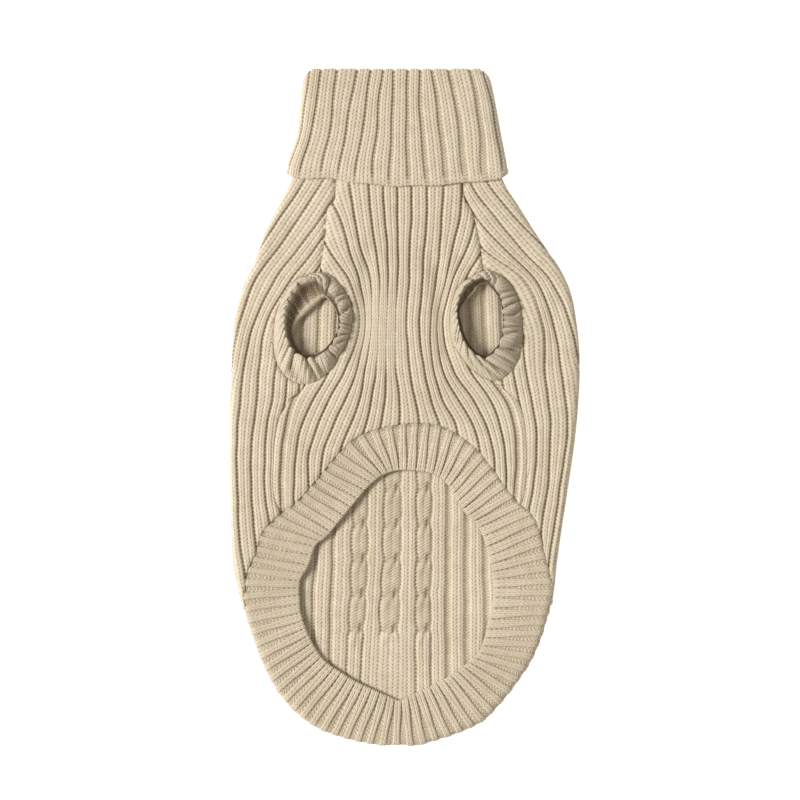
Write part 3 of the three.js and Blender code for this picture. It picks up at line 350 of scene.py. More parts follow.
# The knit's sums, in order: a result, its operation and what it takes, which are earlier results
# or numbers
KNIT_SUMS = (
    # Rows and wales wander a little
    ("row shift", "MULTIPLY_ADD", "wander", 0.6, -0.3),
    ("row", "ADD", "row", "row shift"),
    ("wale shift", "MULTIPLY_ADD", "wander", 0.12, -0.06),
    ("wale", "ADD", "wale", "wale shift"),
    ("in wale", "FRACT", "wale"),
    ("from middle", "SUBTRACT", "in wale", 0.5),
    ("half wale", "ABSOLUTE", "from middle"),
    ("leg", "MULTIPLY", "half wale", 2.0),
    # A strand's height: round across the row, and round across the leg
    ("leaned row", "MULTIPLY_ADD", "leg", -0.9, "row"),
    ("turn", "FRACT", "leaned row"),
    ("turned", "MULTIPLY_ADD", "turn", 2.0, -1.0),
    ("swing", "ABSOLUTE", "turned"),
    ("steep swing", "POWER", "swing", 2.4),
    ("along row", "SUBTRACT", 1.0, "steep swing"),
    ("leg turned", "MULTIPLY_ADD", "leg", 2.0, -1.0),
    ("side", "ABSOLUTE", "leg turned"),
    ("steep side", "POWER", "side", 2.6),
    ("across", "SUBTRACT", 1.0, "steep side"),
    ("beside", "SUBTRACT", 1.0, "across"),
    # Painted shade in the pits where the strands meet
    ("pit depth", "MULTIPLY_ADD", "along row", -0.6, 1.0),
    ("pits", "MULTIPLY", "beside", "pit depth"),
    ("crown", "MULTIPLY_ADD", "along row", 0.35, 0.65),
    ("strand", "SUBTRACT", "crown", "pits"),
    ("strand", "MAXIMUM", "strand", 0.0),
    # Purl bars lean two ways from the middle of the valley
    ("bar row", "MULTIPLY", "row", PURL_ROWS),
    ("leaned bar", "MULTIPLY_ADD", "purl", 0.8, "bar row"),
    ("bar turn", "FRACT", "leaned bar"),
    ("bar turned", "MULTIPLY_ADD", "bar turn", 2.0, -1.0),
    ("bar side", "ABSOLUTE", "bar turned"),
    ("bar", "SUBTRACT", 1.0, "bar side"),
    # A point is purl from a share of 0.2, and not at all below 0.02
    ("purl over", "SUBTRACT", "purl", 0.02),
    ("purl share", "DIVIDE", "purl over", 0.18),
    ("purl share", "MAXIMUM", "purl share", 0.0),
    ("purl share", "MINIMUM", "purl share", 1.0),
    ("bar over strand", "SUBTRACT", "bar", "strand"),
    ("stitch", "MULTIPLY_ADD", "bar over strand", "purl share", "strand"),
    # Painted light and shade on the yarn: lighter on its stitches' strands and darker between them;
    # fibres, spinning and clouds add random tone
    ("stitch light", "MULTIPLY_ADD", "stitch", 0.75, -0.1),
    ("lit", "MULTIPLY_ADD", "fibre", 0.5, "stitch light"),
    ("spun light", "MULTIPLY_ADD", "spun", 0.5, -0.25),
    ("lit", "ADD", "lit", "spun light"),
    ("cloud light", "MULTIPLY_ADD", "cloud", 0.3, -0.15),
    ("lit", "ADD", "lit", "cloud light"),
    # The painted shade of a valley has an edge frayed by stitches and fibres
    ("stitch edge", "MULTIPLY_ADD", "swing", 0.4, -0.2),
    ("frayed", "ADD", "painted_shade", "stitch edge"),
    ("fibre edge", "MULTIPLY_ADD", "fibre", 0.6, -0.3),
    ("frayed", "ADD", "frayed", "fibre edge"),
    ("height", "MULTIPLY_ADD", "fibre", 0.35, "stitch"))


def mix(a, b, share):
    return a + (b - a) * share


def smooth(value, low, high):
    t = np.clip((value - low) / (high - low), 0, 1)
    return t * t * (3 - 2 * t)


def along(rows, key, at, place="y"):
    """A smooth value between the rows of a table, held at its ends."""
    x, v = rows[place], rows[key]
    if x[0] > x[-1]:
        x, v = x[::-1], v[::-1]
    slopes = np.concatenate([
        [(v[1] - v[0]) / (x[1] - x[0])],
        (v[2:] - v[:-2]) / (x[2:] - x[:-2]),
        [(v[-1] - v[-2]) / (x[-1] - x[-2])]])
    at = np.clip(at, x[0], x[-1])
    i = np.clip(np.searchsorted(x, at) - 1, 0, len(x) - 2)
    span = x[i + 1] - x[i]
    t = (at - x[i]) / span
    return ((2 * t**3 - 3 * t**2 + 1) * v[i] + (t**3 - 2 * t**2 + t) * span * slopes[i]
            + (3 * t**2 - 2 * t**3) * v[i + 1] + (t**3 - t**2) * span * slopes[i + 1])


def around(rows, key, turn):
    """A smooth value round a table whose last row leads back to its first."""
    v = rows[key]
    place = np.mod(turn, 1) * len(v)
    i = np.floor(place).astype(int)
    t = place - i
    p, q, r, s = (v[(i + step) % len(v)] for step in (-1, 0, 1, 2))
    return q + 0.5 * t * (r - p + t * (2 * p - 5 * q + 4 * r - s + t * (3 * (q - r) + s - p)))


def even_turns(rows, count, keys_x, keys_y):
    """Turns at equal distances along the mean line of some of a closed table's columns."""
    fine = np.linspace(0, 1, FINE_TURNS)
    x = sum(around(rows, key, fine) for key in keys_x) / len(keys_x)
    y = sum(around(rows, key, fine) for key in keys_y) / len(keys_y)
    passed = np.concatenate([[0], np.cumsum(np.hypot(np.diff(x), np.diff(y)))])
    return np.interp(np.arange(count) / count * passed[-1], passed, fine)


def neck_share(y):
    return smooth(y, *RAMP)


def floor_of(y):
    return NECK_LIFT * neck_share(y)


def under_top(x, y):
    """Height of the top layer's underside."""
    body = SIDE_UNDER + PUFF * (1 - np.minimum(1, np.abs(x) / PUFF_REACH) ** 2)
    return mix(body, NECK_UNDER, neck_share(y))


def creases(rows, x, y):
    """How far down the listed troughs take a surface at each point; ridges are negative."""
    total = np.zeros(np.broadcast(x, y).shape)
    for x1, y1, x2, y2, width, depth in zip(*rows.values()):
        dx, dy = x2 - x1, y2 - y1
        length = math.hypot(dx, dy)
        share = ((x - x1) * dx + (y - y1) * dy) / length**2
        off = ((x - x1) * dy - (y - y1) * dx) / length
        past = np.maximum(np.maximum(-share, share - 1), 0) * length
        total += depth * np.exp(-(off / width) ** 2 - (past / (1.6 * width)) ** 2)
    return total


def stretched(x, y):
    """How deep the ribs are: less where the belly is pulled flat, left of its middle."""
    across = ((x - FLAT_AT[0]) / FLAT_REACH[0]) ** 4
    return 1 - FLAT_SHARE * np.exp(-across - ((y - FLAT_AT[1]) / FLAT_REACH[1]) ** 4)


def rounded(distance, reach):
    """A quarter round that rises from 0 to 1 over its reach."""
    return np.sqrt(1 - (1 - np.clip(distance / reach, 0, 1)) ** 2)


def rib_columns(valleys, steps, widths, strength=1.0, shoulder=1.8):
    """Columns across ribs between valleys. Each has a place, a height from 0 in a valley to 1 on
    a rib, a mark of how much shade is painted there, a share of purl in wide valleys, a depth
    factor, and its count in wales."""
    spans = valleys.shape[1] - 1
    share = np.tile(steps, spans)
    which = np.repeat(np.arange(spans), len(steps))
    share, which = np.append(share, 1.0), np.append(which, spans - 1)
    at = mix(valleys[:, which], valleys[:, which + 1], share)
    pitch = np.abs(valleys[:, which + 1] - valleys[:, which])
    room = np.minimum(1, pitch / RIB_PITCH)
    widths, strength = (np.broadcast_to(v, valleys.shape) for v in (widths, strength))
    wide_left, wide_right = widths[:, which] * room, widths[:, which + 1] * room
    left, right = share * pitch - wide_left, (1 - share) * pitch - wide_right
    height = 1 - strength[:, which] * (1 - rounded(left, shoulder * room))
    height *= 1 - strength[:, which + 1] * (1 - rounded(right, shoulder * room))
    groove = RIB_GROOVE * np.exp(-((share - 0.5) * pitch / 0.5) ** 2)
    purl = np.clip(np.maximum(-left / wide_left, -right / wide_right), 0, 1) + 0.02
    # Painted shade at the edges of the valleys, weaker on a rib's left flank beside a wide valley, which
    # faces the key light at the left
    lit = 1 - 0.6 * np.clip(wide_left - 0.5, 0, 1)
    mark = np.maximum(strength[:, which] * lit * np.exp(-(left / 0.5) ** 2),
                      strength[:, which + 1] * np.exp(-(right / 0.55) ** 2))
    wales = 2 * (which + np.clip(left / (pitch - wide_left - wide_right), 0, 1))
    deep = np.clip(pitch / DEEP_PITCH, LEAST_DEEP, 1)
    purl = np.where((left < 0) | (right < 0), purl, 0)
    purl = purl * np.clip(np.maximum(wide_left, wide_right) - 0.5, 0, 1)
    return SimpleNamespace(at=at, height=height * (1 - groove), purl=purl, deep=deep, wales=wales,
                           mark=mark)


def columns_of(rows, keys, y, sway=0.16):
    """Valley lines at each height. They sway a little, as rib knitting does."""
    lines = np.stack([along(rows, key, y) for key in keys], axis=1)
    n = np.arange(len(keys))
    wave = np.sin(y[:, None] / 7 + 1.9 * n) + 0.6 * np.sin(y[:, None] / 3.1 + 4.1 * n)
    return lines + sway * wave


def widths_of(keys, wide, usual=0.32):
    return np.array([wide.get(key, usual) for key in keys])


def plan_at(rows, name, turns):
    """Points of one of a closed table's lines, seen from above."""
    return np.stack([around(rows, f"{name}X", turns), around(rows, f"{name}Y", turns)], axis=1)


def closed_line(rows, name, count=360):
    return plan_at(rows, name, np.arange(count) / count)


def nearest(line, points):
    """Distance from each point to a closed line, and the nearest point on it."""
    start, end = line, np.roll(line, -1, axis=0)
    best = np.full(len(points), np.inf)
    spot = np.zeros((len(points), 2))
    for a, b in zip(start, end):
        run = b - a
        share = np.clip(((points - a) @ run) / max(run @ run, 1e-12), 0, 1)
        foot = a + share[:, None] * run
        gap = np.hypot(*(points - foot).T)
        closer = gap < best
        best[closer] = gap[closer]
        spot[closer] = foot[closer]
    return best, spot


def inside(line, points):
    """Whether each point is inside a closed line."""
    x, y = points.T
    found = np.zeros(len(points), bool)
    for (x1, y1), (x2, y2) in zip(line, np.roll(line, -1, axis=0)):
        if y1 != y2:
            crosses = ((y1 > y) != (y2 > y)) & (x < (x2 - x1) * (y - y1) / (y2 - y1) + x1)
            found ^= crosses
    return found


def seam_line():
    """The closed outline of the belly between its seams."""
    y = np.linspace(SEAM_START, SEAM_END, 160)
    left = np.stack([along(SEAMS, "left", y), y], axis=1)
    right = np.stack([along(SEAMS, "right", y), y], axis=1)[::-1]
    return np.concatenate([left, right])


def return_line():
    """Where the band, folded right round, meets the back underneath."""
    turns = even_turns(BAND, 4 * BAND_RIBS, ("freeX", "outX"), ("freeY", "outY"))
    turns = turns[around(BAND, "turned", turns) >= 1][::-1]
    free, out = plan_at(BAND, "free", turns), plan_at(BAND, "out", turns)
    share = (BAND_FOLD + BAND_RETURN + BAND_RIM + SEAM_GAP) / np.hypot(*(free - out).T)
    return mix(out, free, share[:, None])


def cut_lines():
    """The lines that the leg cuffs and the band are sewn to."""
    return [closed_line(LEFT_CUFF, "seam"), closed_line(RIGHT_CUFF, "seam"),
            closed_line(BAND, "out", 480)]


def cell_middles(grid):
    return (grid[:-1, :-1, :2] + grid[1:, 1:, :2]).reshape(-1, 2) / 2


def trimmed(top, keep, lines, reach):
    """Moves the points on a trimmed edge onto the nearest of the lines that they were cut by.
    Gives the grid, and each point's distance to the lines."""
    flat = top[..., :2].reshape(-1, 2)
    used = np.zeros(top.shape[:2], bool)
    lost = np.zeros(top.shape[:2], bool)
    for dr in (0, 1):
        for dc in (0, 1):
            used[dr:dr + keep.shape[0], dc:dc + keep.shape[1]] |= keep
            lost[dr:dr + keep.shape[0], dc:dc + keep.shape[1]] |= ~keep
    best = np.full(len(flat), FAR)
    spot = flat.copy()
    wanted = used.ravel()
    for line in lines:
        gap, foot = nearest(line, flat[wanted])
        closer = gap < best[wanted]
        index = np.flatnonzero(wanted)[closer]
        best[index] = gap[closer]
        spot[index] = foot[closer]
    edge = (used & lost).ravel() & (best < reach)
    moved = flat.copy()
    moved[edge] = spot[edge]
    best[edge] = 0
    return moved.reshape(top.shape[0], top.shape[1], 2), best.reshape(top.shape[:2])


def as_object(name, points, faces, knit, shades, material):
    """A mesh object in metres from points in millimetres. knit is a corner's place in wales and
    rows of stitches. shades are values for each point."""
    corners = points[faces[:, :3]]
    volume = np.einsum("ij,ij->i", corners[:, 0], np.cross(corners[:, 1], corners[:, 2])).sum()
    if volume < 0:
        faces, knit = faces[:, ::-1], knit[:, ::-1]
    used, compact = np.unique(faces, return_inverse=True)
    faces = compact.reshape(faces.shape)
    mesh = bpy.data.meshes.new(name)
    mesh.from_pydata((points[used] * MM).tolist(), [], faces.tolist())
    mesh.uv_layers.new(name="knit").uv.foreach_set("vector", knit.reshape(-1).astype(np.float32))
    for key, values in shades.items():
        mesh.attributes.new(key, "FLOAT", "POINT").data.foreach_set(
            "value", values[used].astype(np.float32))
    mesh.shade_smooth()
    mesh.validate()
    mesh.materials.append(material)
    piece = bpy.data.objects.new(name, mesh)
    bpy.context.scene.collection.objects.link(piece)
    return piece


def panel(name, top, under, keep, knit, shades, under_shades, material):
    """A closed piece of cloth from two grids of points and the cells that are kept."""
    rows, columns = top.shape[:2]
    index = np.arange(rows * columns).reshape(rows, columns)
    corner = [index[:-1, :-1], index[:-1, 1:], index[1:, 1:], index[1:, :-1]]
    padded = np.pad(keep, 1)
    beside = [padded[:-2, 1:-1], padded[1:-1, 2:], padded[2:, 1:-1], padded[1:-1, :-2]]
    faces = [np.stack([c[keep] for c in corner], axis=1)]
    faces.append(faces[0][:, ::-1] + rows * columns)
    for side in range(4):
        edge = keep & ~beside[side]
        a, b = corner[side][edge], corner[(side + 1) % 4][edge]
        faces.append(np.stack([b, a, a + rows * columns, b + rows * columns], axis=1))
    faces = np.concatenate(faces)
    points = np.concatenate([top.reshape(-1, 3), under.reshape(-1, 3)])
    places = np.concatenate([knit.reshape(-1, 2)] * 2)
    values = {key: np.concatenate([shades[key].ravel(), under_shades[key].ravel()]) for key in shades}
    return as_object(name, points, faces, places[faces], values, material)


def ring(name, sections, knit, shades, material, turns_u):
    """A closed ring of closed sections: points (stations, section, 3)."""
    count, size = sections.shape[:2]
    i, j = np.meshgrid(np.arange(count), np.arange(size), indexing="ij")
    i, j = i.ravel(), j.ravel()
    steps = [(i, j), (i, j + 1), (i + 1, j + 1), (i + 1, j)]
    faces = np.stack([(a % count) * size + b % size for a, b in steps], axis=1)
    places = np.stack([knit[a % count, b % size] + np.stack(
        [turns_u * (a >= count), np.zeros(len(a))], axis=1) for a, b in steps], axis=1)
    values = {key: value.ravel() for key, value in shades.items()}
    return as_object(name, sections.reshape(-1, 3), faces, places, values, material)


def sizes_of(context):
    """The panel's sizes in millimetres."""
    source = context.scene.sweater_sizes
    return SimpleNamespace(
        wall=source.wall / MM, rise=source.rib_rise / MM, course=source.course / MM,
        dip=source.seam_dip / MM, row=source.mesh_row / MM, gather=source.gather_rise / MM)


def finished(piece, node):
    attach(piece, "root")
    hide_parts(node)


def make_belly(size):
    keys = [key for key in BELLY if key != "y"]
    y = np.arange(NECK_SEAM, SEAM_END - size.row, -BELLY_ROW * size.row)
    valleys = columns_of(BELLY, keys, y)
    valleys = np.concatenate([valleys[:, :1] - 12, valleys, valleys[:, -1:] + 12], axis=1)
    ribs = rib_columns(valleys, RIB_STEPS, widths_of(["", *keys, ""], WIDE_BELLY))
    x, y = ribs.at, np.broadcast_to(y[:, None], ribs.at.shape)
    top = np.stack([x, y, y], axis=2)
    seams, cuts = seam_line(), cut_lines()
    middle = cell_middles(top)
    keep = inside(seams, middle)
    for line in cuts:
        keep &= ~inside(line, middle)
    keep = keep.reshape(x.shape[0] - 1, x.shape[1] - 1)
    plan, gap = trimmed(top, keep, [seams, *cuts], BELLY_TRIM)
    return *top_layer(size, plan, gap, ribs), keep, knit_of(size, ribs, y), ribs.purl


def seam_shade(gap, y):
    """How much shade is painted on the cloth at a seam: most at the raglan seams, which the ribs run into.
    """
    raglan = smooth(y, *RAGLAN)
    return mix(0.25, 0.55, raglan) * np.exp(-(gap / mix(0.8, 1.1, raglan)) ** 2)


def seam_dip(size, gap, y):
    """How far the cloth dips at a seam."""
    return size.dip * (1 + 0.8 * smooth(y, *RAGLAN)) * np.exp(-(gap / 1.5) ** 2)


def rib_heights(size, y):
    """How far a rib's back stands over the cloth, and over its valleys."""
    return mix(CREST, NECK_RISE, neck_share(y)), mix(size.rise, NECK_DEPTH, neck_share(y))


def top_layer(size, plan, gap, ribs):
    """Outer and inner points of the top layer, with its ribs, seams and creases."""
    x, y = plan[..., 0], plan[..., 1]
    crest, rise = rib_heights(size, y)
    deep = ribs.deep * stretched(x, y)
    under = under_top(x, y)
    fall = creases(CREASES, x, y) * (1 - neck_share(y))
    z = under + size.wall + crest - rise * deep * (1 - ribs.height) - seam_dip(size, gap, y) - fall
    top = np.dstack([x, y, z])
    low = np.dstack([x, y, under - 0.5 * fall])
    # Painted shade in the valleys and at the seams
    painted_shade = np.clip(deep * ribs.mark + seam_shade(gap, y), 0, 1)
    return top, low, painted_shade


def knit_of(size, ribs, y):
    return np.dstack([ribs.wales, y / size.course])


def belly_piece(size, material):
    top, low, painted_shade, keep, knit, purl = make_belly(size)
    blank = np.zeros_like(painted_shade)
    return panel("Belly", top, low, keep, knit, {"painted_shade": painted_shade, "purl": purl},
                 {"painted_shade": blank, "purl": blank}, material)


def fold_length(distance, radius):
    """Where a point at a distance in from the outline lies along the round of the side fold."""
    turned = radius * np.arccos(np.clip(1 - distance / radius, -1, 1))
    flat = distance - radius + np.pi * radius / 2
    return np.where(distance >= radius, flat, np.where(distance > 0, turned, distance))


def flap(size, y, side):
    """The part of the back that lies on top, with the fold at its side."""
    letter, edge_key = ("l", "left") if side < 0 else ("r", "right")
    keys = [f"{letter}{n}" for n in (5, 4, 3, 2, 1)]
    top_y = np.maximum(y, FLAP_END)
    edge = along(OUTLINE, edge_key, y)[:, None]
    top_edge = along(OUTLINE, edge_key, top_y)[:, None]
    floor = floor_of(y)[:, None]
    radius = (under_top(edge, y[:, None]) + size.wall - floor) / 2
    lines = columns_of(FLAPS, keys, top_y)
    lines = np.concatenate([lines[:, :1] - side * np.array([24, 16, 8]), lines], axis=1)
    lengths = fold_length(side * (top_edge - lines), radius)
    under = -np.pi * radius / 2 - UNDER_START
    lengths = np.concatenate([lengths, mix(lengths[:, -1:], under, 0.5), under], axis=1)
    ribs = rib_columns(lengths, FLAP_STEPS, widths_of([""] * lengths.shape[1], {}))
    length = ribs.at
    angle = np.clip(length / radius, -np.pi / 2, np.pi / 2)
    past = np.maximum(np.abs(length) - radius * np.pi / 2, 0)
    yy = np.broadcast_to(y[:, None], length.shape)
    return SimpleNamespace(ribs=ribs, length=length, angle=angle, past=past, radius=radius,
                           edge=edge, floor=floor, y=yy, side=side)


def flap_points(size, part, gap, plan=None):
    """Outer and inner points of a flap and its fold."""
    sine, cosine = np.sin(part.angle), np.cos(part.angle)
    upward = np.clip(sine, 0, 1)
    x = part.edge - part.side * (part.radius - part.radius * cosine + part.past)
    deep = part.ribs.deep
    crest, rise = (value * upward for value in rib_heights(size, part.y))
    low = UNDER_RISE * (1 - upward)
    fall = creases(CREASES, x, part.y) * upward * (1 - neck_share(part.y))
    dip = seam_dip(size, gap, part.y) * upward
    reach = part.radius + crest - (rise + low) * deep * (1 - part.ribs.height) - dip - fall
    centre = part.floor + part.radius
    turn_x = part.edge - part.side * (part.radius - reach * cosine)
    out_x = np.where(part.past > 0, x, turn_x)
    on_top = (part.past > 0) & (part.length > 0)
    lift = under_top(x, part.y) + size.wall - part.floor - 2 * part.radius
    out_z = centre + reach * sine + np.where(on_top, lift, 0)
    inner = part.radius - size.wall
    in_x = np.where(part.past > 0, x, part.edge - part.side * (part.radius - inner * cosine))
    in_z = centre + inner * sine + np.where(on_top, lift, 0)
    outer = np.dstack([out_x, part.y, out_z])
    within = np.dstack([in_x, part.y, in_z])
    if plan is not None:
        moved = (gap == 0) & on_top
        outer[moved, :2] = plan[moved]
        within[moved, :2] = plan[moved]
    # Painted shade in the valleys and, on top, at the seams
    painted_shade = np.clip(deep * part.ribs.mark + seam_shade(gap, part.y) * upward, 0, 1)
    return outer, within, painted_shade


def back_piece(size, material):
    y = np.arange(NECK_SEAM, BACK_END, -BACK_ROW * size.row)
    sides = [flap(size, y, -1), flap(size, y, 1)]
    seams, cuts = seam_line(), cut_lines()
    parts = []
    for part in sides:
        outer, _, _ = flap_points(size, part, np.full(part.length.shape, FAR))
        middle = cell_middles(outer)
        upper = (part.length[:-1, :-1] > 0).ravel()
        keep = np.ones(len(middle), bool)
        for line in [seams, *cuts]:
            keep &= ~(inside(line, middle) & upper)
        wrap = LEFT_WRAP if part.side < 0 else RIGHT_WRAP
        keep &= middle[:, 1] > wrap[1]
        keep = keep.reshape(part.length.shape[0] - 1, part.length.shape[1] - 1)
        plan, gap = trimmed(outer, keep, [seams, *cuts], BACK_TRIM)
        gap = np.where(part.length > 0, gap, FAR)
        parts.append((*flap_points(size, part, gap, plan), keep, part.ribs))
    keys = [key for key in INSIDE if key != "y"]
    valleys = columns_of(INSIDE, keys, y)
    from_x = parts[0][0][:, -1, :1]
    to_x = parts[1][0][:, -1, :1]
    held = np.maximum(y, FLAP_END)
    held_row = np.searchsorted(-y, -held)
    from_x, to_x = from_x[held_row], to_x[held_row]
    extra = np.array([0.25, 0.5, 0.75])
    valleys = np.concatenate([
        from_x, mix(from_x, valleys[:, :1], extra), valleys,
        mix(valleys[:, -1:], to_x, extra), to_x], axis=1)
    names = ["", "", "", "", *keys, "", "", "", ""]
    crossed = smooth(y, CABLE_END - 4, CABLE_END)
    for key in CABLES:
        swing = (0.5 + 0.5 * np.cos(2 * np.pi * (y - CABLE_FIRST) / CABLE_CROSSING)) ** 3 * crossed
        valleys[:, names.index(key)] += CABLE_PINCH * swing
        valleys[:, names.index(key) + 1] -= CABLE_PINCH * swing
    strength = np.ones(valleys.shape)
    for key, left_over in STOPPED.items():
        strength[:, names.index(key)] = mix(left_over, 1, crossed)
    ribs = rib_columns(valleys, FLOOR_STEPS, widths_of(names, WIDE_INSIDE), strength)
    x = ribs.at
    yy = np.broadcast_to(y[:, None], x.shape)
    cable = np.zeros_like(x)
    lean = np.zeros_like(x)
    purl = ribs.purl.copy()
    crossings = []
    for key in CABLES:
        first = names.index(key)
        low, high = valleys[:, first:first + 1], valleys[:, first + 1:first + 2]
        within = (x - low) / (high - low)
        here = (within > 0) & (within < 1)
        cable += here * crossed[:, None]
        crossing = here & (yy > CABLE_END)
        purl = np.where(crossing, CABLE_PURL, purl)
        lean = np.where(crossing, CABLE_LEAN * (x - low), lean)
        for at_y in CABLE_FIRST - CABLE_CROSSING * np.arange(CABLE_CROSSINGS):
            row = np.argmin(np.abs(y - at_y))
            left, wide = low[row, 0], (high - low)[row, 0]
            crossings += [
                (left + x1 * wide, at_y + y1, left + x2 * wide, at_y + y2, width, depth)
                for x1, y1, x2, y2, width, depth in zip(*CROSSING.values())]
    notches = creases(table(CREASE, *crossings), x, yy)
    floor = floor_of(yy)
    crest, rise = rib_heights(size, yy)
    valley = rise * INSIDE_RISE * ribs.deep * (1 - ribs.height)
    inner_z = floor + size.wall + crest - valley - CABLE_SINK * cable - notches
    other = np.roll(ribs.height, len(FLOOR_STEPS) // 2, axis=1)
    join = smooth(np.minimum(x - from_x, to_x - x), 0, 3)
    under_fall = creases(UNDER_CREASES, x, yy) * join
    valley = UNDER_RISE * (1 - mix(ribs.height, other, join)) * ribs.deep
    outer_z = floor + valley + np.maximum(under_fall, 0)
    floor_out = np.dstack([x, yy, outer_z])
    floor_in = np.dstack([x, yy, inner_z])
    line = return_line()
    end = np.concatenate([
        [(-OUTSIDE, LEFT_WRAP[1]), LEFT_WRAP], line,
        [RIGHT_WRAP, (OUTSIDE, RIGHT_WRAP[1]), (OUTSIDE, OUTSIDE), (-OUTSIDE, OUTSIDE)]])
    middle = cell_middles(floor_out)
    keep = inside(end, middle).reshape(x.shape[0] - 1, x.shape[1] - 1)
    open_end = np.concatenate([line, line[::-1]])
    plan, gap = trimmed(floor_out, keep, [open_end], BACK_TRIM)
    moved = gap == 0
    floor_out[moved, :2] = plan[moved]
    floor_in[moved, :2] = plan[moved]
    # Painted shade in the valleys inside the back and in the pits of the cable crossings, and in the
    # valleys of the face on the floor
    painted_shade_in = np.clip(0.9 * ribs.deep * ribs.mark + np.clip(notches, 0, 1.1), 0, 1.1)
    painted_shade_out = np.clip(ribs.deep * (1 - mix(ribs.height, other, join)), 0, 1)
    left_out, left_in, left_painted_shade, left_keep, left_ribs = parts[0]
    right_out, right_in, right_painted_shade, right_keep, right_ribs = (
        item[:, ::-1] if isinstance(item, np.ndarray) else item for item in parts[1])

    def joined(left, centre, right):
        return np.concatenate([left, centre[:, 1:-1], right], axis=1)

    outer = joined(left_out, floor_out, right_out)
    within = joined(left_in, floor_in, right_in)
    kept = np.concatenate([left_keep, keep, right_keep], axis=1)
    side_wales, floor_wales = left_ribs.wales[0, -1], ribs.wales[0, -1]
    wales = joined(left_ribs.wales, side_wales + ribs.wales,
                   2 * side_wales + floor_wales - right_ribs.wales[:, ::-1])
    left_none, right_none = np.zeros_like(left_painted_shade), np.zeros_like(right_painted_shade)
    lean = joined(left_none, lean, right_none)
    knit = np.dstack([wales, (y[:, None] - lean) / size.course])
    shades = {"painted_shade": joined(left_painted_shade, painted_shade_out, right_painted_shade), "purl": np.zeros_like(wales)}
    under_shades = {"painted_shade": joined(left_none, painted_shade_in, right_none),
                    "purl": joined(left_none, purl, right_none)}
    return panel("Back", outer, within, kept, knit, shades, under_shades, material)


def catmull(points, steps):
    """A smooth closed line through points (stations, n, 3), with steps to each span."""
    t = (np.arange(steps) / steps)[None, None, :, None]
    p, q, r, s = (np.roll(points, shift, axis=1)[:, :, None] for shift in (1, 0, -1, -2))
    line = q + 0.5 * t * (r - p + t * (2 * p - 5 * q + 4 * r - s + t * (3 * (q - r) + s - p)))
    return line.reshape(points.shape[0], -1, points.shape[2])


def gathered(rows, angle, sharp=2.2):
    """Where each point lies across its gather, from 0 in a crease to 1 on the fold, and the
    gather's depth. Sharp creases are narrow."""
    edges = np.append(rows["angle"], rows["angle"][0] + 360)
    depths = np.append(rows["depth"], rows["depth"][0])
    angle = np.mod(angle - edges[0], 360) + edges[0]
    i = np.clip(np.searchsorted(edges, angle, side="right") - 1, 0, len(edges) - 2)
    t = (angle - edges[i]) / (edges[i + 1] - edges[i])
    return 1 - np.abs(2 * t - 1) ** sharp, mix(depths[i], depths[i + 1], t)


